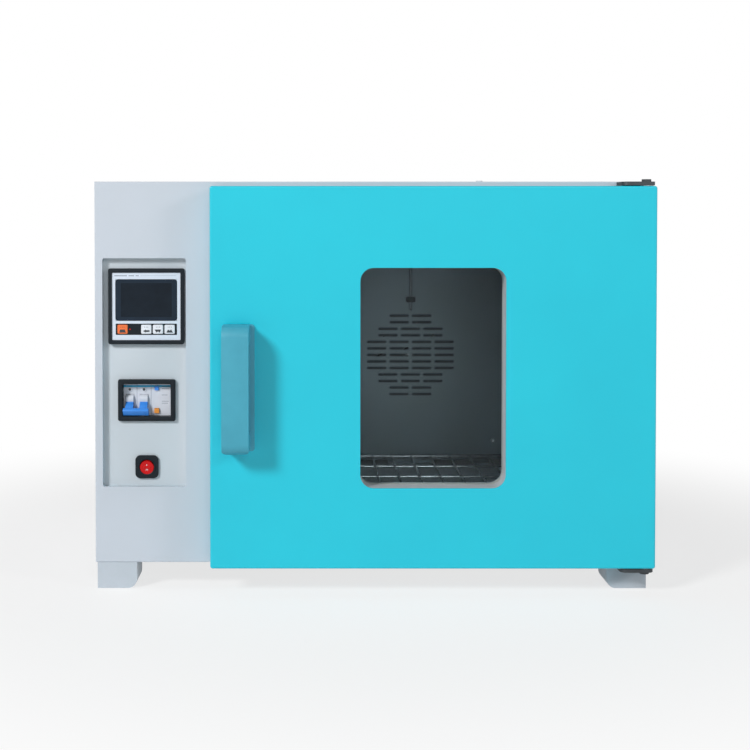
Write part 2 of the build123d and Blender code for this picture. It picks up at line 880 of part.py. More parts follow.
def controller_bezel():
    """The controller's square frame."""
    ring = centred(controller_x, controller_z, controller_size, controller_size, bezel_corner)
    ring -= centred(controller_x, controller_z, face_w + 2 * panel_gap, face_h + 2 * panel_gap)
    frame = along_y(ring, (y_bezel, y_tray))
    return chamfer(frame.edges().group_by(Axis.Y)[0], bezel_corner / 4)


def controller_face():
    """The face plate, open for the display and the keys, with a shallow channel along the keys."""
    y = (y_bezel + face_sink, y_bezel + face_sink + face_t)
    key_z = controller_z - key_down
    face = centred(controller_x, controller_z, face_w, face_h)
    for x in key_places():
        face -= centred(x, key_z, key_w + 2 * key_gap, key_h + 2 * key_gap)
    plate = along_y(face, y)
    gap = 2 * panel_gap
    screen = centred(controller_x, controller_z + display_up, display_w + gap, display_h + gap)
    plate -= along_y(screen, (y[0], y[0] + display_t))
    channel = centred(controller_x, key_z, display_w, key_strip_h)
    return plate - along_y(channel, (y[0], y[0] + key_strip_sink))


def controller_display():
    """The dark display window, seated in the face plate."""
    y = y_bezel + face_sink
    screen = centred(controller_x, controller_z + display_up, display_w, display_h, bezel_corner)
    return along_y(screen, (y, y + display_t))


def controller_housing():
    """The controller's body behind the tray, with its board at the front."""
    case = centred(controller_x, controller_z, controller_body, controller_body, bezel_corner)
    board = centred(controller_x, controller_z, face_w, face_h)
    well = centred(controller_x, controller_z - display_up / 2, display_w, face_h - display_up)
    face_back = y_bezel + face_sink + face_t
    board_y = y_bezel + face_sink - key_proud + key_l + 2 * key_travel
    body = along_y(case, (y_tray, y_tray + housing_d)) + along_y(board, (board_y, y_tray))
    return body + along_y(board - well, (face_back, y_tray))


def controller_key(place):
    """One soft key, with a domed front edge."""
    front = y_bezel + face_sink - key_proud
    cap = centred(place, controller_z - key_down, key_w, key_h, key_proud)
    key = along_y(cap, (front, front + key_l))
    return chamfer(key.edges().group_by(Axis.Y)[0], key_proud / 2)


def breaker_frame():
    """The window frame round the breaker, with a tail through the tray."""
    rim = 2 * breaker_rim
    outer = centred(breaker_x, breaker_z, breaker_frame_w, breaker_frame_h, breaker_rim)
    tail = centred(breaker_x, breaker_z, breaker_view_w + rim, breaker_view_h + rim)
    view = centred(breaker_x, breaker_z, breaker_view_w, breaker_view_h, breaker_rim / 2)
    frame = along_y(outer - view, (y_tray - breaker_frame_t, y_tray))
    return frame + along_y(tail - view, (y_tray, y_tray + breaker_frame_tail))


def lever_places():
    """Middles of the breaker's two levers, one in each pole."""
    left = breaker_x - breaker_w / 2 + pole_w / 2
    return [left, left + pole_w]


def small_button_place(rise):
    """Where a button of the residual-current unit sits, as X and Z."""
    return breaker_x - breaker_w / 2 + small_button_x, breaker_z + rise


def breaker_body():
    """A two-pole breaker joined to its residual-current unit: a stepped body with lever slots and bosses."""
    x = around(breaker_x, breaker_w)
    body = block(x, (y_nose, y_nose + breaker_nose_d), around(breaker_z, breaker_nose_h))
    body += block(x, (y_nose + breaker_nose_d, y_nose + breaker_d), around(breaker_z, breaker_h))
    y_pivot = y_nose + lever_sink
    for place in lever_places():
        body -= rod_x(y_pivot, breaker_z, lever_hub_r + lever_gap, around(place, lever_w + 2 * lever_gap))
        high = breaker_z + lever_in_r * math.cos(math.radians(lever_rest))
        body += rod_y(place, high, boss_r, (y_nose - boss_t, y_nose), hole_sides)
    pin_x = (lever_places()[0] - lever_w, lever_places()[1] + lever_w)
    body -= rod_x(y_pivot, breaker_z, lever_pin_r + running_gap, pin_x)
    for rise, size in ((small_button_rise, test_size), (-small_button_rise, reset_size)):
        u, v = small_button_place(rise)
        side = size + 2 * small_button_gap
        inner_end = y_nose + small_button_l - small_button_proud + small_button_travel + small_button_gap
        body -= block(around(u, side), (y_nose, inner_end), around(v, side))
    notch = around(breaker_z, rail_h + 2 * panel_gap)
    return body - block(x, (y_nose + breaker_d - rail_d, y_nose + breaker_d), notch)


def breaker_toggle():
    """Both levers and their tie bar, on one pin, resting in the lower position."""
    y_pivot = y_nose + lever_sink
    places = lever_places()
    toggle = rod_x(y_pivot, breaker_z, lever_pin_r, (places[0] - lever_w + 1, places[1] + lever_w - 1))
    arm_y = (y_pivot - lever_in_r - 1, y_pivot)
    for place in places:
        toggle += rod_x(y_pivot, breaker_z, lever_hub_r, around(place, lever_w), head_sides)
        toggle += block(around(place, lever_w), arm_y, around(breaker_z, lever_t))
    bar_x = around((places[0] + places[1]) / 2, lever_bar_w)
    bar = block(bar_x, (y_pivot - lever_out_r, y_pivot - lever_in_r), around(breaker_z, lever_bar_h))
    toggle += fillet(bar.edges().filter_by(Axis.X), lever_t / 4)
    return toggle.rotate(Axis((0, y_pivot, breaker_z), (1, 0, 0)), lever_rest)


def small_button(rise, size):
    """A push button of the residual-current unit."""
    u, v = small_button_place(rise)
    front = y_nose - small_button_proud
    return block(around(u, size), (front, front + small_button_l), around(v, size))


def din_rail():
    """The top-hat rail behind the breaker and the bracket that carries it from the tray."""
    y = y_nose + breaker_d
    x = grow(around(breaker_x, breaker_w), rail_past)
    crown = around(breaker_z, rail_h - 4 * rail_t)
    profile = outline((y - rail_d, y - rail_d + rail_t), around(breaker_z, rail_h))
    profile -= outline((y - rail_d - 1, y - rail_d + rail_t + 1), grow(crown, -rail_t))
    profile += outline((y - rail_d, y), crown) - outline((y - rail_d, y - rail_t), grow(crown, -rail_t))
    rail = along_x(profile, x)
    arms = around(breaker_x, 2 * bracket_arm)
    plan = outline(arms, (y_tray + sheet, y + sheet)) - outline(grow(arms, -sheet), (y_tray, y))
    return rail + along_z(plan, around(breaker_z, bracket_h))


def switch_housing():
    """The power switch's square bezel and its body behind the tray."""
    bezel = centred(switch_x, switch_z, switch_size, switch_size, switch_corner)
    body = centred(switch_x, switch_z, switch_body, switch_body)
    front = y_tray - switch_t
    housing = along_y(bezel, (front, y_tray)) + along_y(body, (y_tray, y_tray + switch_body_d))
    housing -= rod_y(switch_x, switch_z, switch_hole_r, (front, y_tray + rocker_back + switch_t))
    return housing - rod_x(y_tray, switch_z, rocker_pin_r + running_gap, around(switch_x, switch_body))


def power_rocker():
    """The round rocker with a dished face, on its pivot pin, resting with its lower edge in."""
    rocker = rod_y(switch_x, switch_z, rocker_r, (y_tray - rocker_front, y_tray + rocker_back))
    dish_y = y_tray - rocker_front - rocker_dish_r + rocker_dish
    rocker -= rod_x(dish_y, switch_z, rocker_dish_r, around(switch_x, switch_size))
    rear_y = y_tray + 2 * rocker_r
    rocker -= rod_x(rear_y, switch_z, 2 * rocker_r - rocker_back, around(switch_x, switch_size))
    heel = rod_x(y_tray, switch_z, rocker_back, around(switch_x, rocker_r))
    pin = rod_x(y_tray, switch_z, rocker_pin_r, around(switch_x, switch_body - 1))
    return (rocker + heel + pin).rotate(Axis((0, y_tray, switch_z), (1, 0, 0)), rocker_rest)


def relay_heat_sink():
    """A finned aluminium extrusion on the bay's wall."""
    x = wall_x - sheet
    y = around(y_face + sink_in, sink_d)
    plan = outline((x - sink_t, x), y)
    for index in range(sink_fins):
        at = y[0] + sink_fin_t / 2 + index * (sink_d - sink_fin_t) / (sink_fins - 1)
        plan += outline((x - sink_t - sink_fin, x - sink_t), around(at, sink_fin_t))
    return along_z(plan, around(cab_z[0] + sink_rise, sink_h))


def solid_state_relay():
    """The heater's relay, seated on the bay's wall above the heat sink."""
    x = wall_x - sheet
    z = cab_z[0] + sink_rise + sink_h / 2
    relay = block((x - relay_w, x), around(y_face + sink_in, relay_d), (z, z + relay_h))
    return fillet(relay.edges().filter_by(Axis.X), 3)


def terminal_block():
    """The mains terminal block on the floor of the control bay, with its screw bays."""
    floor = cab_z[0] + sheet
    x = (cab_x[0] + terminal_left, cab_x[0] + terminal_left + terminal_w)
    y = around(y_face + terminal_in, terminal_d)
    body = block(x, y, (floor, floor + terminal_h))
    step = (floor + terminal_h / 2, floor + terminal_h)
    for index in range(terminal_bays):
        middle = x[0] + (index + 0.5) * terminal_w / terminal_bays
        for edge in y:
            body -= block(around(middle, terminal_bay), around(edge, terminal_bay), step)
    return body


# Rear fittings
def power_inlet():
    """A flanged appliance inlet: an outward socket with three flat pins."""
    x, z = inlet_mid
    mouth = y_back + inlet_t
    root = mouth - inlet_socket_d
    inlet = along_y(centred(x, z, inlet_w, inlet_h, inlet_t), (y_back, mouth))
    inlet += block(around(x, inlet_body_w), (mouth - inlet_body_d, y_back), around(z, inlet_body_h))
    inlet -= block(around(x, inlet_socket_w), (root, mouth), around(z, inlet_socket_h))
    for offset, drop in ((-inlet_pin_pitch, inlet_pin_down), (0, 0), (inlet_pin_pitch, inlet_pin_down)):
        pin_x = around(x + offset, inlet_pin_w)
        inlet += block(pin_x, (root, root + inlet_pin_l), around(z - drop, inlet_pin_h))
    return inlet


def rear_screws():
    """The rear panel's hexagon-headed screws and the larger earthing screw."""
    screws = Part()
    for x, z in rear_screw_places():
        screw = rod_y(x, z, rear_screw_head_r, (y_back, y_back + rear_screw_head_t), hex_sides)
        screws += screw + rod_y(x, z, rear_screw_r, (y_back - rear_screw_l, y_back), hex_sides)
    x, z = earth_mid
    earth = rod_y(x, z, earth_washer_r, (y_back, y_back + earth_washer_t), head_sides)
    earth += rod_y(x, z, earth_head_r, (y_back + earth_washer_t, y_back + rear_reach), hex_sides)
    return screws + (earth + rod_y(x, z, rear_screw_r, (y_back - rear_screw_l, y_back), hex_sides))


def vent_hole_places(radius):
    """Middles of the vent's round holes on their ring."""
    x, y = vent_mid
    turns = [math.radians(45 + index * 360 / vent_holes) for index in range(vent_holes)]
    return [(x + radius * math.cos(turn), y + radius * math.sin(turn)) for turn in turns]


def vent_tube():
    """The exhaust pipe from the chamber roof, with its holed top plate and headed pin."""
    top = cab_z[1]
    plate = top + vent_flange_t
    tube = rod_z(*vent_mid, vent_r, (chamber_z[1], top), head_sides)
    tube -= rod_z(*vent_mid, vent_r - vent_wall, (chamber_z[1] - 1, top), head_sides)
    tube += rod_z(*vent_mid, vent_flange_r, (top, plate))
    for place in vent_hole_places(vent_hole_ring):
        tube -= rod_z(*place, vent_hole_r, (top - 1, plate + 1), hole_sides)
    head = plate + damper_t + damper_grip_h
    tube += rod_z(*vent_mid, vent_pin_r, (plate, head + vent_head_t))
    return tube + rod_z(*vent_mid, vent_head_r, (head, head + vent_head_t), head_sides)


def vent_damper():
    """The turning disc over the vent, with a grip bar; its holes match the plate's when it is open."""
    low = cab_z[1] + vent_flange_t
    disc = rod_z(*vent_mid, damper_r, (low, low + damper_t))
    for place in vent_hole_places(vent_hole_ring):
        disc -= rod_z(*place, vent_hole_r, (low - 1, low + damper_t + 1), hole_sides)
    x, y = vent_mid
    top = low + damper_t + damper_grip_h
    disc += block(around(x, 2 * damper_r - damper_grip_w), around(y, damper_grip_w), (low, top))
    return disc - rod_z(*vent_mid, vent_pin_r + running_gap, (low - 1, top + 1))


# Door
def door_skin():
    """The painted door pan: front sheet with its window, and four returns to the back."""
    pan = block(door_x, (y_door_front, y_door), door_z)
    pan = fillet(pan.edges().filter_by(Axis.Y), door_corner)
    pan = fillet(pan.edges().group_by(Axis.Y)[0], door_round)
    pan -= block(grow(door_x, -sheet), (y_door_front + sheet, y_door + 1), grow(door_z, -sheet))
    pan -= along_y(outline(window_x, window_z, window_r), (y_door_front - 1, y_door_front + 2 * sheet))
    for z in door_z:
        pan -= rod_z(hinge_x, hinge_y, bush_r + press_gap, around(z, 4 * sheet), head_sides)
    return pan


def door_inner_panel():
    """The stainless inside of the door, raised where it enters the chamber, with its window opening."""
    inside = sheet + panel_gap
    plate = outline(grow(door_x, -inside), grow(door_z, -inside))
    raised_x = grow(chamber_x, -plateau_gap)
    raised_z = grow(chamber_z, -plateau_gap)
    raised = outline(raised_x, raised_z, chamber_corner)
    hollow = outline(grow(raised_x, -liner_sheet), grow(raised_z, -liner_sheet), chamber_corner)
    view = outline(window_x, window_z, window_r)
    panel = along_y(plate - hollow, (y_door - liner_sheet, y_door))
    panel += along_y(raised - hollow, (y_door - liner_sheet, y_door + plateau - liner_sheet))
    return panel + along_y(raised - view, (y_door + plateau - liner_sheet, y_door + plateau))


def window_lining():
    """The pale frame that lines the window from the front sheet back to the outer glass."""
    view = outline(window_x, window_z, window_r)
    wall = outline(grow(window_x, lining_t), grow(window_z, lining_t), window_r + lining_t)
    seat = outline(grow(window_x, lining_flange), grow(window_z, lining_flange), window_r + lining_flange)
    lining = along_y(wall - view, (y_door_front + sheet, outer_glass_y[0]))
    return lining + along_y(seat - view, (outer_glass_y[0] - lining_t, outer_glass_y[0]))


def window_glass(y):
    """A glass pane a little larger than the window."""
    return along_y(outline(grow(window_x, glass_edge), grow(window_z, glass_edge), window_r + glass_edge), y)


def glass_spacer():
    """The frame between the two panes."""
    view = outline(window_x, window_z, window_r)
    seat = outline(grow(window_x, glass_edge), grow(window_z, glass_edge), window_r + glass_edge)
    return along_y(seat - view, (outer_glass_y[1], inner_glass_y[0]))


def door_insulation():
    """Mineral wool between the door's two sheets, cut away round the window and the hinge bushes."""
    inside = sheet + panel_gap
    wool = outline(grow(door_x, -inside), grow(door_z, -inside))
    round_window = lining_flange + panel_gap
    wool -= outline(grow(window_x, round_window), grow(window_z, round_window), window_r + round_window)
    pad = along_y(wool, (y_door_front + sheet, y_door - liner_sheet))
    room = 2 * (bush_r + panel_gap)
    for z in door_z:
        pad -= block(around(hinge_x, room), around(hinge_y, room), around(z, 2 * (bush_l + 1)))
    return pad


def door_gasket():
    """The silicone seal on the fascia round the chamber mouth."""
    reach = gasket_in + gasket_w
    outer = outline(grow(chamber_x, reach), grow(chamber_z, reach), chamber_corner + reach)
    inner = outline(grow(chamber_x, gasket_in), grow(chamber_z, gasket_in), chamber_corner + gasket_in)
    return along_y(outer - inner, (y_door + gasket_gap, y_face))


def handle_profile(x0, x1):
    """The pull's side view made solid across its width: a C with two legs and a round-cornered grip."""
    low = door_z[0] + handle_foot
    z = (low, low + handle_h)
    front = y_door_front - handle_reach
    side = outline((front, y_door_front), z)
    side = fillet(side.vertices().group_by(Axis.X)[0], handle_outer_r)
    gap = outline((front + handle_grip_t, y_door_front + handle_inner_r), grow(z, -handle_leg))
    gap = fillet(gap.vertices().group_by(Axis.X)[0], handle_inner_r)
    return along_x(side - gap, (x0, x1))


def door_handle():
    """The moulded pull on a thin base plate, with a finger gap behind the grip."""
    left = door_x[0] + handle_left
    pull = handle_profile(left, left + handle_w)
    long_edges = pull.edges().filter_by(lambda e: e.length > handle_h / 2)
    pull = chamfer(long_edges.group_by(Axis.Y)[0], handle_edge)
    z = (door_z[0] + handle_foot, door_z[0] + handle_foot + handle_h)
    base_x = (left, left + handle_w + handle_base_edge)
    return pull + along_y(outline(base_x, z, handle_base_t), (y_door_front - handle_base_t, y_door_front))


def magnet_catches():
    """Two magnetic catches let into the fascia."""
    catches = Part()
    for z in (mid_z - strike_rise, mid_z + strike_rise):
        catches += block(catch_x, (y_face - catch_proud, y_face + catch_d), around(z, strike_h))
    return catches


def strike_plates():
    """The steel plates that the catches hold, on the door's inner panel."""
    plates = Part()
    for z in (mid_z - strike_rise, mid_z + strike_rise):
        plates += block(catch_x, (y_door, y_door + strike_t), around(z, strike_h))
    return plates


# Hinge
def hinge_bracket(plate_z, flange_z):
    """A steel bracket: a flat arm out to the pivot and a flange screwed to the fascia."""
    x = (hinge_x - hinge_plate_w + hinge_nose, hinge_x + hinge_nose)
    arm = block(x, (hinge_y - hinge_nose, y_face), plate_z)
    arm = fillet(arm.edges().filter_by(Axis.Z).group_by(Axis.Y)[0], hinge_nose * 0.8)
    flange_x = (x[0], x[0] + hinge_flange_w)
    bracket = arm + block(flange_x, (y_face - hinge_flange_t, y_face), flange_z)
    bracket -= rod_z(hinge_x, hinge_y, hinge_pin_r + press_gap, grow(plate_z, 1))
    for z in hinge_screw_places():
        if flange_z[0] < z < flange_z[1]:
            hole = Pos(hinge_screw_x, z) * section(hinge_screw_r + press_gap, hex_sides)
            bracket -= along_y(hole, (y_face - hinge_flange_t, y_face))
    return bracket


def hinge_brackets():
    """The upper and lower brackets, mirror images of each other."""
    top = hinge_bracket(top_plate_z, (top_plate_z[0] - hinge_flange_h, top_plate_z[1]))
    return top + hinge_bracket(low_plate_z, (low_plate_z[0], low_plate_z[1] + hinge_flange_h))


def hinge_pins():
    """Two headed pins, one down into the door's top and one up into its bottom."""
    reach = bush_l * 0.8
    top = rod_z(hinge_x, hinge_y, hinge_pin_r, (door_z[1] - reach, top_plate_z[1]))
    head_z = (top_plate_z[1], top_plate_z[1] + hinge_head_t)
    top += rod_z(hinge_x, hinge_y, hinge_head_r, head_z, head_sides)
    low = rod_z(hinge_x, hinge_y, hinge_pin_r, (low_plate_z[0], door_z[0] + reach))
    head_z = (low_plate_z[0] - hinge_head_t, low_plate_z[0])
    low += rod_z(hinge_x, hinge_y, hinge_head_r, head_z, head_sides)
    return top + low


def hinge_screws():
    """Low-headed screws in the hinge brackets' flanges."""
    screws = Part()
    head = (y_face - hinge_flange_t - hinge_screw_head_t, y_face - hinge_flange_t)
    for z in hinge_screw_places():
        screw = rod_y(hinge_screw_x, z, hinge_screw_head_r, head, head_sides)
        screws += screw + rod_y(hinge_screw_x, z, hinge_screw_r, (head[1], y_face + hinge_screw_l), hex_sides)
    return screws


def hinge_bushes():
    """Flanged bushes in the door's top and bottom returns."""
    low = rod_z(hinge_x, hinge_y, bush_r, (door_z[0] - door_lift, door_z[0] + bush_l), head_sides)
    low += rod_z(hinge_x, hinge_y, bush_flange_r, (door_z[0] - door_lift, door_z[0]), head_sides)
    top = rod_z(hinge_x, hinge_y, bush_r, (door_z[1] - bush_l, door_z[1] + bush_top_t), head_sides)
    top += rod_z(hinge_x, hinge_y, bush_flange_r, (door_z[1], door_z[1] + bush_top_t), head_sides)
    return low + top - rod_z(hinge_x, hinge_y, hinge_pin_r + running_gap, grow(door_z, hinge_plate_t))


key_names = ["key_set", "key_shift", "key_down", "key_up"]

nodes = {
    "outer_casing": outer_casing(),
    "front_fascia": front_fascia(),
    "base_pan": base_pan(),
    "rear_panel": rear_panel(),
    "feet": feet(),
    "compartment_partition": compartment_partition(),
    "cabinet_insulation": cabinet_insulation(),
    "chamber_liner": chamber_liner(),
    "air_duct_plate": air_duct_plate(),
    "duct_plate_nuts": duct_plate_nuts(),
    "shelf_racks": shelf_racks(),
    "shelf_lower": wire_shelf(0),
    "shelf_upper": wire_shelf(rack_levels - 1),
    "heater_ring": heater_ring(),
    "heater_terminals": heater_terminals(),
    "fan_impeller": fan_impeller(),
    "fan_shaft": fan_shaft(),
    "cooling_blade": cooling_blade(),
    "fan_motor": fan_motor(),
    "temperature_probe": temperature_probe(),
    "probe_clip": probe_clip(),
    "control_tray": control_tray(),
    "controller_bezel": controller_bezel(),
    "controller_face": controller_face(),
    "controller_display": controller_display(),
    "controller_housing": controller_housing(),
    "breaker_frame": breaker_frame(),
    "breaker_body": breaker_body(),
    "breaker_toggle": breaker_toggle(),
    "breaker_test_button": small_button(small_button_rise, test_size),
    "breaker_reset_button": small_button(-small_button_rise, reset_size),
    "din_rail": din_rail(),
    "switch_housing": switch_housing(),
    "power_rocker": power_rocker(),
    "relay_heat_sink": relay_heat_sink(),
    "solid_state_relay": solid_state_relay(),
    "terminal_block": terminal_block(),
    "power_inlet": power_inlet(),
    "rear_screws": rear_screws(),
    "vent_tube": vent_tube(),
    "vent_damper": vent_damper(),
    "door_skin": door_skin(),
    "door_inner_panel": door_inner_panel(),
    "window_lining": window_lining(),
    "outer_glass": window_glass(outer_glass_y),
    "inner_glass": window_glass(inner_glass_y),
    "glass_spacer": glass_spacer(),
    "door_insulation": door_insulation(),
    "door_handle": door_handle(),
    "door_gasket": door_gasket(),
    "magnet_catches": magnet_catches(),
    "strike_plates": strike_plates(),
    "hinge_brackets": hinge_brackets(),
    "hinge_pins": hinge_pins(),
    "hinge_screws": hinge_screws(),
    "hinge_bushes": hinge_bushes(),
}
for name, place in zip(key_names, key_places()):
    nodes[name] = controller_key(place)

os.makedirs("parts", exist_ok=True)
for name, shape in nodes.items():
    export_step(shape, f"parts/{name}.step")
print(len(nodes), "nodes")
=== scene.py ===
"""Hot air sterilizer: the finishes and fine pieces of a bench-top oven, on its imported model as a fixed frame.

Sizes are millimetres until a mesh is made, and every mesh holds its place in the model's own frame:
X to the viewer's right, Y back from the door, Z up, with the origin on the table under the middle.
"""

import json
import logging
import math
from dataclasses import dataclass, field
from enum import Enum
from typing import Any, Callable, Iterable, Sequence

import bmesh
import bpy
from mathutils import Euler, Matrix, Vector

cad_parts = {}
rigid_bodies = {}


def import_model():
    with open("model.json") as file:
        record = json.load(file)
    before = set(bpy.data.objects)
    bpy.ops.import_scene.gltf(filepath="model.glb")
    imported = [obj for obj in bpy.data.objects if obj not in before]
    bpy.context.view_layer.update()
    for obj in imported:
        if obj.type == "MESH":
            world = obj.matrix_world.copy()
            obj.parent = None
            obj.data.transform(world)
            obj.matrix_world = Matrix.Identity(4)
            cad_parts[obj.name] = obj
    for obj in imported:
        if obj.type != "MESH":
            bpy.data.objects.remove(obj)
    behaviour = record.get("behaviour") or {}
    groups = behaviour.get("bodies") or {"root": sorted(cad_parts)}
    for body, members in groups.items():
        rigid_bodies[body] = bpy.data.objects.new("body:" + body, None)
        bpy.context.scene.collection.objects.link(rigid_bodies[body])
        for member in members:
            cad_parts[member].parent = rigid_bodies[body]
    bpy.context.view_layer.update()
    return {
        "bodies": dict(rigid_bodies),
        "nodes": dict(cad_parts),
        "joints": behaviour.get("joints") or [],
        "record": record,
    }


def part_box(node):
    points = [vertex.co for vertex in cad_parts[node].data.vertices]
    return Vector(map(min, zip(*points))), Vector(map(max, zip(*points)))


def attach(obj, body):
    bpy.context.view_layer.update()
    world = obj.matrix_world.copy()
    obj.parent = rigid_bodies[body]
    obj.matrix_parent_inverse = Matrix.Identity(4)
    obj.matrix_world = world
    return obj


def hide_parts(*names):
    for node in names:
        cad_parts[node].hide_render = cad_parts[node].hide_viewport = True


Point2 = tuple[float, float]
Point3 = tuple[float, float, float]
Span = tuple[float, float]
Loop = Sequence[Point2]
Piece = bpy.types.Object
Material = bpy.types.Material
Tree = bpy.types.NodeTree
Node = bpy.types.Node
Socket = bpy.types.NodeSocket

MM = 0.001
WHITE = (1.0, 1.0, 1.0, 1.0)
TO_VIEWER: Point3 = (0, -1, 0)
# Edges turned by more than this stay sharp in a smooth mesh
SHARP_DEG = 35.0
# The noise values between which the broad patches, and the grain, come up
PATCH_RANGE: Span = (0.35, 0.7)
GRAIN_RANGE: Span = (0.3, 0.7)
log = logging.getLogger("sterilizer")


def linear(colour: str) -> tuple[float, float, float, float]:
    """Turns an sRGB hex colour into the linear values that shaders take.

    Args:
        colour: six hexadecimal digits after a hash sign.

    Returns:
        Red, green, blue and an alpha of one.
    """
    shares = [int(colour[index : index + 2], 16) / 255 for index in (1, 3, 5)]
    red, green, blue = (v / 12.92 if v <= 0.04045 else ((v + 0.055) / 1.055) ** 2.4 for v in shares)
    return red, green, blue, 1.0


def wire(node: Node, links: dict) -> None:
    """Fills or links inputs of a node.

    Args:
        node: the node.
        links: input name or number to a plain value, a socket, a node whose first output is meant, or a list
            of those where an input takes several.
    """
    for name, value in links.items():
        for source in value if isinstance(value, list) else [value]:
            socket = source.outputs[0] if isinstance(source, Node) else source
            if isinstance(socket, Socket):
                node.id_data.links.new(socket, node.inputs[name])
            else:
                node.inputs[name].default_value = socket


def add_node(tree: Tree, kind: str, links: dict | None = None, **settings: Any) -> Node:
    """Adds one node to a tree with its settings, and fills or links its inputs.

    Args:
        tree: the shader or geometry tree.
        kind: the node's type name.
        links: its inputs, as for wire.
        settings: the node's own properties.

    Returns:
        The new node.
    """
    made = tree.nodes.new(kind)
    for name, value in settings.items():
        setattr(made, name, value)
    wire(made, links or {})
    return made


def new_material(name: str) -> tuple[Material, Tree, Node]:
    """A new material, its tree and its principled shader."""
    made = bpy.data.materials.new(name)
    made.use_nodes = True
    return made, made.node_tree, made.node_tree.nodes["Principled BSDF"]


def rays(tree: Tree, *kinds: str) -> Node:
    """The node that gives one for rays of any of the kinds, and nought for others."""
    path = add_node(tree, "ShaderNodeLightPath")
    picked = path.outputs[f"Is {kinds[0]} Ray"]
    for kind in kinds[1:]:
        both = {0: picked, 1: path.outputs[f"Is {kind} Ray"]}
        picked = add_node(tree, "ShaderNodeMath", both, operation="MAXIMUM")
    return picked


# Finishes


class Grain(Enum):
    """The fine relief that a way of making leaves on a surface."""

    PEEL = "the soft dimples of baked powder paint"
    BRUSHED = "fine straight scratches from a belt"
    SPANGLE = "the flake pattern of hot-dip zinc"
    MOULDED = "the etched grain of a mould"
    FIBRE = "matted wool"
    CAST = "rough cast or laminated iron"
    PLAIN = "no relief that shows"


@dataclass(frozen=True)
class Finish:
    """One real surface: what it is made of and how its making shows.

    Args:
        name: the material's common name and how its surface was made.
        colour: sRGB hex of the clean surface.
        roughness: the middle of its roughness.
        grain: the relief that its making left.
        grain_mm: the spacing of that relief.
        relief_mm: its height.
        drift: sRGB hex towards which the colour wanders a little, as with dust, heat or handling.
        drift_share: how far it wanders.
        drift_mm: the size of those patches.
        metallic: one for bare metal, and less where it has to look as pale as in the picture.
        spread: how far the roughness swings with the grain.
        stretch: how much longer the grain is along each axis.
        extras: other inputs of the shader, by name.
    """

    name: str
    colour: str
    roughness: float
    grain: Grain = Grain.MOULDED
    grain_mm: float = 1.0
    relief_mm: float = 0.01
    drift: str = "#808080"
    drift_share: float = 0.05
    drift_mm: float = 60.0
    metallic: float = 0.0
    spread: float = 0.06
    stretch: Point3 = (1.0, 1.0, 1.0)
    extras: tuple[tuple[str, float], ...] = ()

    def pattern(self, tree: Tree, place: Socket) -> Node:
        """Draws the grain as a height between nought and one.

        Args:
            tree: the material's tree.
            place: object coordinates in metres.

        Returns:
            The node whose first output is the height.
        """
        per_metre = 1 / (self.grain_mm * MM)
        scale = tuple(per_metre / along for along in self.stretch)
        spot = add_node(tree, "ShaderNodeMapping", {"Vector": place, "Scale": scale})
        if self.grain is Grain.SPANGLE:
            flakes = add_node(tree, "ShaderNodeTexVoronoi", {"Vector": spot, "Scale": 1.0, "Randomness": 1.0})
            return add_node(tree, "ShaderNodeSeparateColor", {"Color": flakes.outputs["Color"]})
        detail = {Grain.PEEL: 1.0, Grain.BRUSHED: 3.0, Grain.MOULDED: 2.0, Grain.FIBRE: 6.0, Grain.CAST: 4.0}
        bend = 1.5 if self.grain is Grain.FIBRE else 0.0
        values = {"Vector": spot, "Scale": 1.0, "Detail": detail.get(self.grain, 0.0), "Distortion": bend}
        return add_node(tree, "ShaderNodeTexNoise", values)

    def material(self) -> Material:
        """Builds the node tree: wandering colour, grain in the roughness, and grain as relief."""
        made, tree, shader = new_material(self.name)
        made.diffuse_color = linear(self.colour)
        place = add_node(tree, "ShaderNodeTexCoord").outputs["Object"]
        patches = {"Vector": place, "Scale": 1 / (self.drift_mm * MM), "Detail": 3.0, "Roughness": 0.55}
        share = {
            "Value": add_node(tree, "ShaderNodeTexNoise", patches),
            "From Min": PATCH_RANGE[0],
            "From Max": PATCH_RANGE[1],
            "To Max": self.drift_share,
        }
        colours = {
            "Fac": add_node(tree, "ShaderNodeMapRange", share),
            "Color1": linear(self.colour),
            "Color2": linear(self.drift),
        }
        height = self.pattern(tree, place)
        gloss = {
            "Value": height,
            "From Min": GRAIN_RANGE[0],
            "From Max": GRAIN_RANGE[1],
            "To Min": max(self.roughness - self.spread, 0.02),
            "To Max": min(self.roughness + self.spread, 1.0),
        }
        inputs = {
            "Base Color": add_node(tree, "ShaderNodeMixRGB", colours),
            "Roughness": add_node(tree, "ShaderNodeMapRange", gloss),
            "Metallic": self.metallic,
        }
        wire(shader, inputs | dict(self.extras))
        if self.grain is not Grain.PLAIN:
            relief = add_node(tree, "ShaderNodeBump", {"Height": height, "Distance": self.relief_mm * MM})
            wire(shader, {"Normal": relief})
        return made


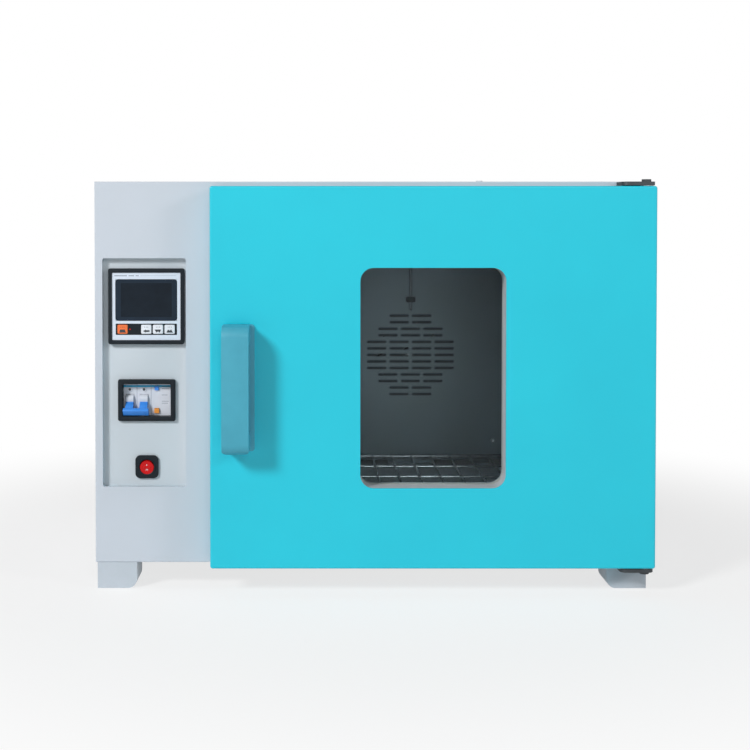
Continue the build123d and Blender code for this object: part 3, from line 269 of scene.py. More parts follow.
@dataclass(frozen=True)
class PaneFinish:
    """Float glass, tempered: clear and mirror-smooth, nearly without tint, and with weak reflections.

    Args:
        name: the material's name.
        tint: sRGB hex of white light once it has come through one face.
        mirror: sRGB hex that weakens its reflections.
        lamp_tint: sRGB hex of the light that one face lets through to the chamber.
        roughness: of its faces.
        ior: of the glass.
    """

    name: str = "tempered float glass, faintly tinted"
    tint: str = "#F2F5F6"
    mirror: str = "#585C5E"
    lamp_tint: str = "#F4F7F7"
    roughness: float = 0.02
    ior: float = 1.52

    def material(self) -> Material:
        """Glass to the eye, and a plain tinted filter to the lamps, so that light reaches the chamber."""
        made, tree, shader = new_material(self.name)
        inputs = {
            "Base Color": linear(self.tint),
            "Roughness": self.roughness,
            "Transmission Weight": 1.0,
            "IOR": self.ior,
            "Specular Tint": linear(self.mirror),
        }
        wire(shader, inputs)
        lamps = rays(tree, "Shadow", "Diffuse")
        filter_ = add_node(tree, "ShaderNodeBsdfTransparent", {"Color": linear(self.lamp_tint)})
        blend = add_node(tree, "ShaderNodeMixShader", {0: lamps, 1: shader, 2: filter_})
        wire(tree.nodes["Material Output"], {"Surface": blend})
        return made


# Weaker mirroring than the plastic's own, because the picture's blacks and red mirror next to nothing
DULL_PLASTIC = (("Specular IOR Level", 0.2),)
DULL_SCREEN = (("Specular IOR Level", 0.15),)

FINISHES: dict[str, Finish | PaneFinish] = {
    # Polyester powder, baked: an even satin skin with soft dimples that break up reflections
    "cabinet_paint": Finish(
        "steel sheet, powder coated pale grey", "#C9D1DB", 0.42, Grain.PEEL, 1.6, 0.012, "#B9C2C6", 0.22, 140
    ),
    # The same powder on the sunk pan, a little cleaner because hands reach it less
    "tray_paint": Finish(
        "steel tray, powder coated pale grey", "#CAD3DA", 0.44, Grain.PEEL, 1.6, 0.012, "#BAC4C9", 0.2, 90
    ),
    # Glossier powder: the light pools softly, and the colour deepens a little in broad patches
    "door_paint": Finish(
        "steel sheet, powder coated turquoise", "#1BCBE0", 0.36, Grain.PEEL, 1.8, 0.01, "#17BED6", 0.35, 160
    ),
    # Hot-dip zinc: large dull flakes, each with its own gloss
    "galvanised_sheet": Finish(
        "hot-dip galvanised sheet", "#A9AEB0", 0.42, Grain.SPANGLE, 7, 0.004, "#8D9396", 0.3, 50, 1.0, 0.14
    ),
    # Stainless sheet with a mill finish: a soft, cool, nearly even shine. Its colour is drawn paler than bare
    # steel and with little metal in it: painted reflection of bright surroundings
    "stainless_sheet": Finish(
        "stainless sheet, cold rolled", "#D3DAE0", 0.55, Grain.CAST, 3.0, 0.003, "#BFC7CD", 0.35, 60,
        0.3, 0.06,
    ),
    # The duct plate's sheet, belt-ground along its width: soft streaked reflections. Its dark grey is painted
    # shade of the chamber's back behind the glass, and broad patches wander to a darker, greener grey
    "duct_sheet": Finish(
        "stainless sheet, belt ground and heat tinted", "#78848A", 0.42, Grain.BRUSHED, 0.8, 0.0015,
        "#6F7A78", 0.35, 70, 0.8, 0.1, (40, 40, 1),
    ),
    # Drawn stainless wire, electropolished after welding: bright, with faint draw lines
    "stainless_wire": Finish(
        "stainless wire, drawn and electropolished", "#8B9296", 0.24, Grain.BRUSHED, 0.5, 0.003,
        "#93999A", 0.2, 25, 1.0, 0.06, (1, 30, 1),
    ),
    # Phosphated steel: almost black, dull and slightly mottled
    "dark_steel": Finish(
        "steel, phosphated", "#4B4F52", 0.5, Grain.CAST, 1.2, 0.01, "#383A3B", 0.4, 18, 1.0, 0.1
    ),
    # Bright zinc plate: cold and shiny, with hazy patches
    "zinc_steel": Finish(
        "steel, bright zinc plated", "#B9BDC0", 0.3, Grain.CAST, 0.9, 0.004, "#9DA2A8", 0.35, 12, 1.0, 0.1
    ),
    "window_glass": PaneFinish(),
    # Extruded silicone: matt and faintly milky, with a fine even grain
    "silicone_seal": Finish(
        "silicone rubber, extruded", "#C9CCC8", 0.55, Grain.MOULDED, 2.0, 0.01, "#B4B4AC", 0.3, 30
    ),
    # Needled mineral wool: a matt, matted yellow-grey surface with deep pores
    "mineral_wool": Finish(
        "mineral wool, needled", "#B9AE8C", 0.95, Grain.FIBRE, 2.2, 0.5, "#8E8468", 0.5, 14, 0.0, 0.03
    ),
    # Vacuum-formed ABS: a fine leathery grain that greys the highlights
    "lining_plastic": Finish(
        "ABS, vacuum formed", "#C3C8CE", 0.5, Grain.MOULDED, 0.8, 0.006, "#AEB3B6", 0.2, 40
    ),
    # Injection-moulded nylon with a spark-eroded grain: satin, a little polished where hands take it
    "handle_plastic": Finish(
        "nylon, injection moulded with a fine grain", "#45A5BC", 0.46, Grain.MOULDED, 0.7, 0.012,
        "#3C95AC", 0.45, 34,
    ),
    # Moulded polypropylene: soft-looking, with a faint waxy sheen
    "foot_plastic": Finish(
        "polypropylene, injection moulded", "#C2CBD4", 0.5, Grain.MOULDED, 1.0, 0.01, "#AEB7BD", 0.25, 22
    ),
    # Glass-filled moulded frame: black with a grain that keeps it from mirroring
    "black_plastic": Finish(
        "ABS, injection moulded black", "#121A21", 0.38, Grain.MOULDED, 0.6, 0.008, "#20282E", 0.3, 16,
        extras=DULL_PLASTIC,
    ),
    # Acrylic window, polished, with the dark board behind it: near-black blue and glossy
    "display_window": Finish(
        "acrylic window, polished, smoke tinted", "#1C2936", 0.12, Grain.PLAIN, 1.0, 0.0, "#243241", 0.6, 22,
        0.0, 0.02, extras=DULL_SCREEN,
    ),
    # Unlit liquid crystal cell behind the acrylic: a shade darker than its rim
    "dark_cell": Finish(
        "liquid crystal cell, unlit", "#131D27", 0.16, Grain.PLAIN, 1.0, 0.0, "#1A2530", 0.6, 18, 0.0, 0.02,
        extras=DULL_SCREEN,
    ),
    # Printed polyester overlay: flat, clean bluish white
    "face_plastic": Finish(
        "polyester overlay, printed", "#DBE5F2", 0.42, Grain.MOULDED, 0.5, 0.003, "#CBD6E4", 0.3, 26
    ),
    # Self-extinguishing polyamide: bluish white and satin
    "white_plastic": Finish(
        "polyamide, injection moulded white", "#D9DEE8", 0.4, Grain.MOULDED, 0.7, 0.006, "#C6CCD6", 0.3, 14
    ),
    # Silicone rubber keys, one dyed through and the others undyed: matt
    "orange_key": Finish(
        "silicone rubber key, orange", "#F2763A", 0.55, Grain.MOULDED, 0.6, 0.006, "#E0672C", 0.3, 6
    ),
    "white_key": Finish(
        "silicone rubber key, white", "#E9EDF4", 0.55, Grain.MOULDED, 0.6, 0.006, "#D6DCE6", 0.3, 6
    ),
    # Polycarbonate, dyed: glossy, so that the lamps make small highlights
    "red_plastic": Finish(
        "polycarbonate, moulded red", "#DC1417", 0.22, Grain.MOULDED, 2.0, 0.004, "#AC0E12", 0.5, 7,
        extras=DULL_PLASTIC,
    ),
    # Polyamide levers and buttons, dyed through: satin
    "blue_plastic": Finish(
        "polyamide, moulded blue", "#3F93F2", 0.36, Grain.MOULDED, 0.7, 0.006, "#2F7FDB", 0.35, 7
    ),
    "orange_plastic": Finish(
        "polyamide, moulded orange", "#F09A3A", 0.36, Grain.MOULDED, 0.7, 0.006, "#DB8526", 0.35, 5
    ),
    # Stacked iron laminations, varnished: dark brown-grey with fine parallel edges
    "motor_iron": Finish(
        "iron laminations, varnished", "#5A5148", 0.45, Grain.BRUSHED, 0.5, 0.03, "#3E3833", 0.5, 12,
        1.0, 0.1, (30, 1, 30),
    ),
    # Nickel-alloy sheath, oxidised by heat: dark, with bluish patches
    "heater_sheath": Finish(
        "nickel alloy tube, heat oxidised", "#4C463F", 0.42, Grain.CAST, 1.0, 0.008, "#3A4652", 0.7, 18,
        1.0, 0.12,
    ),
    # Glazed steatite: cream white and glassy
    "ceramic_bush": Finish("steatite, glazed", "#E4DFD2", 0.2, Grain.MOULDED, 1.5, 0.006, "#D2CBBB", 0.4, 6),
    # Extruded aluminium: pale, with die lines along the fins
    "sink_aluminium": Finish(
        "aluminium, extruded", "#B5B8BA", 0.36, Grain.BRUSHED, 0.6, 0.006, "#9A9DA0", 0.3, 20,
        1.0, 0.1, (1, 1, 30),
    ),
    # Screen-printing ink: dense, flat and matt
    "dark_ink": Finish("screen ink, dark", "#2B3036", 0.6, Grain.PLAIN, 1.0, 0.0, "#3A4047", 0.3, 6),
    "grey_ink": Finish("screen ink, grey", "#8F99A6", 0.6, Grain.PLAIN, 1.0, 0.0, "#A3ACB8", 0.3, 6),
    "cyan_ink": Finish("screen ink, cyan", "#35AEDC", 0.55, Grain.PLAIN, 1.0, 0.0, "#2C9CC8", 0.3, 6),
    "white_ink": Finish("screen ink, white", "#F2F4F7", 0.55, Grain.PLAIN, 1.0, 0.0, "#E4E8EE", 0.3, 6),
}


class Palette:
    """Makes each finish's material once and hands it out."""

    def __init__(self) -> None:
        """Starts with no material made."""
        self.made: dict[str, Material] = {}

    def get(self, finish: str) -> Material:
        """Returns the material of a finish, made on first use."""
        if finish not in self.made:
            self.made[finish] = FINISHES[finish].material()
        return self.made[finish]


# Outlines


def spans(node: str) -> tuple[Span, Span, Span]:
    """The lowest and highest X, Y and Z of a node, in millimetres."""
    low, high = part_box(node)
    x, y, z = ((start / MM, end / MM) for start, end in zip(low, high))
    return x, y, z


def middle(span: Span) -> float:
    """The value halfway along a span."""
    return (span[0] + span[1]) / 2


def around(place: float, size: float) -> Span:
    """The span of a given size about a place."""
    return place - size / 2, place + size / 2


def grow(span: Span, amount: float) -> Span:
    """A span made longer at both ends, or shorter where the amount is negative."""
    return span[0] - amount, span[1] + amount


def arc(
    centre: Point2, radius: float, start: float, end: float, steps: int, squash: float = 1.0
) -> list[Point2]:
    """Walks along an arc.

    Args:
        centre: of the circle.
        radius: of the circle.
        start: the first point's angle in degrees, anticlockwise from the first axis.
        end: the last point's.
        steps: between the two.
        squash: the share of its height that is kept.

    Returns:
        The points, both ends among them.
    """
    turns = [math.radians(start + (end - start) * step / steps) for step in range(steps + 1)]
    return [
        (centre[0] + radius * math.cos(turn), centre[1] + radius * squash * math.sin(turn)) for turn in turns
    ]


def circle(u: float, v: float, radius: float, steps: int) -> list[Point2]:
    """The points of a circle, anticlockwise."""
    return arc((u, v), radius, 0, 360, steps)[:-1]


def round_rectangle(u: Span, v: Span, radius: float, steps: int = 8) -> list[Point2]:
    """Draws a rectangle with round corners.

    Args:
        u: its span across.
        v: its span up.
        radius: of its corners.
        steps: of each corner.

    Returns:
        Its points, anticlockwise.
    """
    left, right = grow(u, -radius)
    low, high = grow(v, -radius)
    corners = [(right, high), (left, high), (left, low), (right, low)]
    points = []
    for turn, corner in enumerate(corners):
        points += arc(corner, radius, 90 * turn, 90 * (turn + 1), steps)
    return points


# Mesh tools


def smooth(mesh: bpy.types.Mesh, sharp_deg: float = SHARP_DEG) -> None:
    """Shades a mesh smooth but for its sharp edges."""
    mesh.shade_smooth()
    mesh.set_sharp_from_angle(angle=math.radians(sharp_deg))


def link_mesh(name: str, mesh: bpy.types.Mesh, sharp_deg: float = SHARP_DEG) -> Piece:
    """Puts a finished mesh in the scene as an object at the origin."""
    mesh.name = name
    smooth(mesh, sharp_deg)
    made = bpy.data.objects.new(name, mesh)
    bpy.context.scene.collection.objects.link(made)
    return made


def new_object(name: str, shape: bmesh.types.BMesh) -> Piece:
    """Turns a bmesh in millimetres, which is freed, into an object in metres at the origin."""
    bmesh.ops.recalc_face_normals(shape, faces=shape.faces)
    bmesh.ops.scale(shape, vec=(MM, MM, MM), verts=shape.verts)
    mesh = bpy.data.meshes.new(name)
    shape.to_mesh(mesh)
    shape.free()
    return link_mesh(name, mesh)


def evaluated(carrier: Piece) -> bpy.types.Mesh:
    """The plain mesh that an object's modifiers or curve settings come to."""
    graph = bpy.context.evaluated_depsgraph_get()
    graph.update()
    return bpy.data.meshes.new_from_object(carrier.evaluated_get(graph))


def settle(piece: Piece) -> Piece:
    """Turns a piece's modifiers into plain mesh."""
    mesh = evaluated(piece)
    piece.modifiers.clear()
    piece.data = mesh
    mesh.name = piece.name
    smooth(mesh)
    return piece


def bevel(piece: Piece, width_mm: float, segments: int = 3, angle_deg: float = 40) -> Piece:
    """Rounds a piece's sharp edges and makes the result plain mesh.

    Args:
        piece: the object.
        width_mm: the rounding's width.
        segments: its steps.
        angle_deg: edges turned by less stay as they are.

    Returns:
        The same object.
    """
    rounding = piece.modifiers.new("rounding", "BEVEL")
    rounding.width = width_mm * MM
    rounding.segments = segments
    rounding.limit_method = "ANGLE"
    rounding.angle_limit = math.radians(angle_deg)
    return settle(piece)


def slab(name: str, loops: Sequence[Loop], depth: Span, axis: str = "y") -> Piece:
    """Makes a flat solid from an outline and the outlines of its holes.

    Args:
        name: of the piece.
        loops: the outline and then its holes, in the two axes across the given one.
        depth: its span along that axis.
        axis: the axis that it is thin along: x, y or z.

    Returns:
        The object.
    """
    lift: dict[str, Callable[[Point2, float], Point3]] = {
        "x": lambda p, d: (d, p[0], p[1]),
        "y": lambda p, d: (p[0], d, p[1]),
        "z": lambda p, d: (p[0], p[1], d),
    }
    shape = bmesh.new()
    edges = []
    for loop in loops:
        ring = [shape.verts.new(lift[axis](point, depth[0])) for point in loop]
        edges += [shape.edges.new((ring[index - 1], ring[index])) for index in range(len(ring))]
    bmesh.ops.triangle_fill(shape, use_beauty=True, use_dissolve=False, edges=edges)
    bmesh.ops.dissolve_limit(shape, angle_limit=0.01, verts=shape.verts, edges=shape.edges)
    step = Vector(lift[axis]((0, 0), depth[1] - depth[0]))
    extruded = bmesh.ops.extrude_face_region(shape, geom=shape.faces[:], use_keep_orig=True)
    moved = [item for item in extruded["geom"] if isinstance(item, bmesh.types.BMVert)]
    bmesh.ops.translate(shape, vec=step, verts=moved)
    return new_object(name, shape)


def plate(name: str, u: Span, v: Span, depth: Span, corner: float, steps: int = 8, axis: str = "y") -> Piece:
    """A slab whose outline is a rectangle with round corners."""
    return slab(name, [round_rectangle(u, v, corner, steps)], depth, axis)


def turned(name: str, profile: Sequence[Point2], centre: Point3, axis: str = "y", steps: int = 40) -> Piece:
    """Turns a profile about an axis, as on a lathe.

    Args:
        name: of the piece.
        profile: radius and place along the axis, from one end to the other.
        centre: a point on the axis, whose value along it is added to the profile's.
        axis: x, y or z.
        steps: faces round the turn.

    Returns:
        The object, closed where the profile starts and ends at no radius.
    """
    shape = bmesh.new()
    rings = []
    for radius, along in profile:
        ring = []
        for u, v in circle(0, 0, radius, steps) if radius > 0 else [(0, 0)]:
            spot = {"x": (along, u, v), "y": (u, along, v), "z": (u, v, along)}[axis]
            ring.append(shape.verts.new(Vector(spot) + Vector(centre)))
        rings.append(ring)
    for low, high in zip(rings, rings[1:]):
        for step in range(steps):
            corners = [low[step % len(low)], low[(step + 1) % len(low)]]
            corners += [high[(step + 1) % len(high)], high[step % len(high)]]
            shape.faces.new(list(dict.fromkeys(corners)))
    return new_object(name, shape)


def tube(name: str, path: Sequence[Point3], radius: float, closed: bool = False, sides: int = 16) -> Piece:
    """Runs a round tube along a path of points.

    Args:
        name: of the piece.
        path: the points that it follows.
        radius: of the tube.
        closed: True where its end meets its start.
        sides: of its section.

    Returns:
        The object.
    """
    line = bpy.data.curves.new(name, "CURVE")
    line.dimensions = "3D"
    line.bevel_depth = radius * MM
    line.bevel_resolution = sides // 4 - 1
    line.use_fill_caps = not closed
    spline = line.splines.new("POLY")
    spline.points.add(len(path) - 1)
    for point, place in zip(spline.points, path):
        point.co = (*(value * MM for value in place), 1.0)
    spline.use_cyclic_u = closed
    carrier = bpy.data.objects.new(name, line)
    bpy.context.scene.collection.objects.link(carrier)
    mesh = evaluated(carrier)
    bpy.data.objects.remove(carrier)
    # A tube's own facets turn by less than this, and its end caps by more
    return link_mesh(name, mesh, 50)


def joined(name: str, parts: Iterable[Piece]) -> Piece:
    """Joins finished pieces into one object that keeps each part's materials.

    Args:
        name: of the new piece.
        parts: the pieces, which are removed.

    Returns:
        The joined object.
    """
    shape = bmesh.new()
    materials: list[Material] = []
    for part in parts:
        first = len(shape.faces)
        shape.from_mesh(part.data)
        shape.faces.ensure_lookup_table()
        slots = list(part.data.materials)
        for face in shape.faces[first:] if slots else []:
            finish = slots[min(face.material_index, len(slots) - 1)]
            if finish not in materials:
                materials.append(finish)
            face.material_index = materials.index(finish)
        bpy.data.objects.remove(part)
    mesh = bpy.data.meshes.new(name)
    for finish in materials:
        mesh.materials.append(finish)
    shape.to_mesh(mesh)
    shape.free()
    return link_mesh(name, mesh)


# Repeats by geometry nodes


class Repeat:
    """A geometry node tree with named inputs, and the mesh that it grows."""

    def __init__(self, name: str, sizes: dict[str, float | int]) -> None:
        """Makes the tree with its inputs.

        Args:
            name: of the piece that it grows.
            sizes: each input's name and value: millimetres, or an int for a whole number.
        """
        self.name = name
        self.tree = bpy.data.node_groups.new(name + "_tree", "GeometryNodeTree")
        self.sizes = sizes
        face = self.tree.interface
        face.new_socket("Geometry", in_out="INPUT", socket_type="NodeSocketGeometry")
        self.keys = {}
        for size, value in sizes.items():
            kind = "NodeSocketInt" if isinstance(value, int) else "NodeSocketFloat"
            self.keys[size] = face.new_socket(size, in_out="INPUT", socket_type=kind).identifier
        face.new_socket("Geometry", in_out="OUTPUT", socket_type="NodeSocketGeometry")
        self.inputs = self.tree.nodes.new("NodeGroupInput").outputs

    def add(self, kind: str, links: dict | None = None, **settings: Any) -> Node:
        """Adds a node to the tree, as add_node does."""
        return add_node(self.tree, kind, links, **settings)

    def scatter(self, shape: Node, turn: Point3 = (0.0, 0.0, 0.0)) -> Node:
        """Puts a shape on each point of the carried mesh, turned by the given angles."""
        spots = self.add("GeometryNodeMeshToPoints", {0: self.inputs["Geometry"]})
        return self.add("GeometryNodeInstanceOnPoints", {0: spots, "Instance": shape, "Rotation": turn})

    def grow(self, shape: Node, points: Sequence[Point3]) -> Piece:
        """Ends the tree in realized mesh and evaluates it.

        Args:
            shape: the node with the finished geometry.
            points: millimetre points that the object carries as its own mesh.

        Returns:
            The object, a plain mesh without modifiers.
        """
        self.add("NodeGroupOutput", {0: self.add("GeometryNodeRealizeInstances", {0: shape})})
        seed = bpy.data.meshes.new(self.name)
        seed.from_pydata([tuple(value * MM for value in point) for point in points], [], [])
        piece = bpy.data.objects.new(self.name, seed)
        bpy.context.scene.collection.objects.link(piece)
        grown = piece.modifiers.new("repeat", "NODES")
        grown.node_group = self.tree
        for size, value in self.sizes.items():
            grown[self.keys[size]] = value if isinstance(value, int) else value * MM
        return settle(piece)


@dataclass(frozen=True)
class Fastener:
    """A screw or nut seen from outside: washer, head and a stud's end.

    Args:
        head_r: across the head's corners, halved.
        head_t: its height.
        sides: six for a hexagon.
        washer_r: of the washer under it, or nought.
        washer_t: its thickness.
        tip_r: of a stud's end that stands out of a nut, or nought.
        tip_t: how far it stands out.
    """

    head_r: float
    head_t: float
    sides: int = 6
    washer_r: float = 0.0
    washer_t: float = 0.0
    tip_r: float = 0.0
    tip_t: float = 0.0

    def place(self, name: str, points: Sequence[Point3]) -> Piece:
        """Puts one at each point, with its head towards the viewer.

        Args:
            name: of the piece.
            points: where each one seats.

        Returns:
            One object with all of them.
        """
        # A layer that isn't wanted stays as a speck of this size in the head
        speck = 0.01
        layers = {
            "Washer": (self.washer_r, self.washer_t, 32),
            "Head": (self.head_r, self.head_t, self.sides),
            "Tip": (self.tip_r, self.tip_t, 20),
        }
        sizes: dict[str, float | int] = {}
        for layer, (radius, height, sides) in layers.items():
            sizes[f"{layer} Radius"] = max(radius, speck)
            sizes[f"{layer} Height"] = max(height, speck)
            sizes[f"{layer} Sides"] = sides
        repeat = Repeat(name, sizes)
        start = 0.0
        parts = []
        for layer, (_, height, _) in layers.items():
            radius, tall, sides = (repeat.inputs[f"{layer} {size}"] for size in ("Radius", "Height", "Sides"))
            form = {"Vertices": sides, "Radius": radius, "Depth": tall}
            body = repeat.add("GeometryNodeMeshCylinder", form)
            half = repeat.add("ShaderNodeMath", {0: tall, 1: 0.5}, operation="MULTIPLY")
            rise = repeat.add("ShaderNodeMath", {0: half, 1: start * MM}, operation="ADD")
            lift = repeat.add("ShaderNodeCombineXYZ", {"Z": rise})
            parts.append(repeat.add("GeometryNodeTransform", {0: body, "Translation": lift}))
            start += height
        whole = repeat.add("GeometryNodeJoinGeometry", {0: parts})
        turn = Vector((0, 0, 1)).rotation_difference(Vector(TO_VIEWER)).to_euler()
        return bevel(repeat.grow(repeat.scatter(whole, tuple(turn)), points), 0.35, 2, 50)


@dataclass(frozen=True)
class RodRow:
    """A row of equal round rods, side by side.

    Args:
        radius: of each rod.
        length: of each rod.
        sides: of its section.
    """

    radius: float
    length: float
    sides: int = 12

    def place(self, name: str, starts: Sequence[Point3], along: Point3) -> Piece:
        """Starts a rod at each point and runs it in a direction.

        Args:
            name: of the piece.
            starts: the rods' first ends.
            along: the direction that they run in, one long.

        Returns:
            One object with all of them.
        """
        repeat = Repeat(name, {"Radius": self.radius, "Length": self.length, "Sides": self.sides})
        values = repeat.inputs
        reach = repeat.add("ShaderNodeVectorMath", {0: along, "Scale": values["Length"]}, operation="SCALE")
        section = {"Resolution": values["Sides"], "Radius": values["Radius"]}
        line = repeat.add("GeometryNodeCurvePrimitiveLine", {"End": reach})
        ring = repeat.add("GeometryNodeCurvePrimitiveCircle", section)
        rod = repeat.add("GeometryNodeCurveToMesh", {"Curve": line, "Profile Curve": ring, "Fill Caps": True})
        return repeat.grow(repeat.scatter(rod), starts)


@dataclass(frozen=True)
class SlottedSheet:
    """A sheet with a field of round-ended slots.

    Args:
        width: of the sheet.
        height: of the sheet.
        thickness: of the sheet.
        slot_w: a slot's length.
        slot_h: its height.
        corner: of its ends.
    """

    width: float
    height: float
    thickness: float
    slot_w: float
    slot_h: float
    corner: float

    def place(self, name: str, centre: Point3, slots: Loop) -> Piece:
        """Cuts the slots and gives the sheet its thickness, towards the back.

        Args:
            name: of the piece.
            centre: the middle of the sheet's front face.
            slots: each slot's middle, as X and Z.

        Returns:
            The object.
        """
        sizes = {
            "Sheet Width": self.width,
            "Sheet Height": self.height,
            "Thickness": self.thickness,
            "Slot Width": self.slot_w,
            "Slot Height": self.slot_h,
            "Slot Corner": self.corner,
        }
        repeat = Repeat(name, sizes)
        values = repeat.inputs
        outlines = []
        for shape in ("Sheet", "Slot"):
            size = {"Width": values[f"{shape} Width"], "Height": values[f"{shape} Height"]}
            outlines.append(repeat.add("GeometryNodeCurvePrimitiveQuadrilateral", size))
        outer, slot = outlines
        fillet = {0: slot, "Radius": values["Slot Corner"], "Count": 5}
        round_slot = repeat.add("GeometryNodeFilletCurve", fillet, mode="POLY")
        holes = repeat.add("GeometryNodeRealizeInstances", {0: repeat.scatter(round_slot)})
        curves = repeat.add("GeometryNodeJoinGeometry", {0: [outer, holes]})
        face = repeat.add("GeometryNodeFillCurve", {0: curves}, mode="TRIANGLES")
        thicken = {"Mesh": face, "Offset Scale": values["Thickness"], "Individual": False}
        thick = repeat.add("GeometryNodeExtrudeMesh", thicken)
        front = repeat.add("GeometryNodeFlipFaces", {0: face})
        whole = repeat.add("GeometryNodeJoinGeometry", {0: [front, thick]})
        welded = repeat.add("GeometryNodeMergeByDistance", {0: whole, "Distance": 0.01 * MM})
        stand = {0: welded, "Translation": Vector(centre) * MM, "Rotation": (math.radians(90), 0.0, 0.0)}
        flat = [(x - centre[0], z - centre[2], 0.0) for x, z in slots]
        piece = repeat.grow(repeat.add("GeometryNodeTransform", stand), flat)
        shape = bmesh.new()
        shape.from_mesh(piece.data)
        bmesh.ops.recalc_face_normals(shape, faces=shape.faces)
        shape.to_mesh(piece.data)
        shape.free()
        smooth(piece.data)
        return piece


@dataclass(frozen=True)
class BladeRing:
    """One blade repeated round the Y axis through a centre.

    Args:
        count: of blades.
    """

    count: int

    def place(self, name: str, blade: Piece, centre: Point3) -> Piece:
        """Repeats a blade drawn at its own place round the centre.

        Args:
            name: of the piece.
            blade: the first blade, which is removed.
            centre: a point on the axis.

        Returns:
            One object with all blades.
        """
        repeat = Repeat(name, {"Blades": self.count})
        count = repeat.inputs["Blades"]
        info = repeat.add("GeometryNodeObjectInfo", {0: blade}, transform_space="ORIGINAL")
        to_origin = {0: info.outputs["Geometry"], "Translation": Vector(centre) * -MM}
        home = repeat.add("GeometryNodeTransform", to_origin)
        spots = repeat.add("GeometryNodePoints", {"Count": count, "Position": Vector(centre) * MM})
        share = {0: repeat.add("GeometryNodeInputIndex"), 1: count}
        parts = {0: repeat.add("ShaderNodeMath", share, operation="DIVIDE"), 1: 2 * math.pi}
        angle = repeat.add("ShaderNodeMath", parts, operation="MULTIPLY")
        turn = repeat.add("ShaderNodeCombineXYZ", {"Y": angle})
        placed = repeat.add("GeometryNodeInstanceOnPoints", {0: spots, "Instance": home, "Rotation": turn})
        piece = repeat.grow(placed, [centre])
        bpy.data.objects.remove(blade)
        return piece


# Sub-assemblies


@dataclass
class Assembly:
    """What every sub-assembly shares: its finishes and the way its pieces join the frame."""

    palette: Palette
    frame: dict
    pieces: list[str] = field(default_factory=list)

    def slot_of(self, node: str) -> str:
        """The record's material slot of a node."""
        rows = self.frame["record"]["subparts"]
        return next(row["material_slot"] for row in rows if row["node"] == node)

    def body_of(self, node: str) -> str:
        """The body that carries a node."""
        bodies = self.frame["record"]["behaviour"]["bodies"]
        return next(name for name, members in bodies.items() if node in members)

    def coat(self, piece: Piece, finish: str) -> Piece:
        """Gives a piece one finish in place of what it has."""
        piece.data.materials.clear()
        piece.data.materials.append(self.palette.get(finish))
        return piece

    def dress(self, *nodes: str) -> None:
        """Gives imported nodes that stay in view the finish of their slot."""
        for node in nodes:
            self.coat(self.frame["nodes"][node], self.slot_of(node))
            self.pieces.append(node)

    def stand_for(self, piece: Piece, node: str) -> None:
        """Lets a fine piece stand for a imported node, on that node's body.

        Args:
            piece: the new object, which gets the finish of the node's slot where it has none yet.
            node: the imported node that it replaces.
        """
        if not piece.data.materials:
            self.coat(piece, self.slot_of(node))
        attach(piece, self.body_of(node))
        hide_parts(node)
        self.pieces.append(piece.name)

    def trim(self, piece: Piece, node: str, finish: str, slot: str = "") -> None:
        """Adds a small piece that rides with a node.

        Args:
            piece: the new object.
            node: the node whose body carries it.
            finish: its finish.
            slot: the record's slot that it belongs to, where that isn't called like the finish; not used.
        """
        self.coat(piece, finish)
        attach(piece, self.body_of(node))
        self.pieces.append(piece.name)


@dataclass
class Cabinet(Assembly):
    """The painted shell with its feet, and the sheet and wool behind it."""

    def build(self) -> None:
        """Dresses the shell, what it holds off and its feet."""
        self.dress("outer_casing", "front_fascia", "base_pan", "rear_panel")
        self.dress("compartment_partition", "cabinet_insulation", "feet")


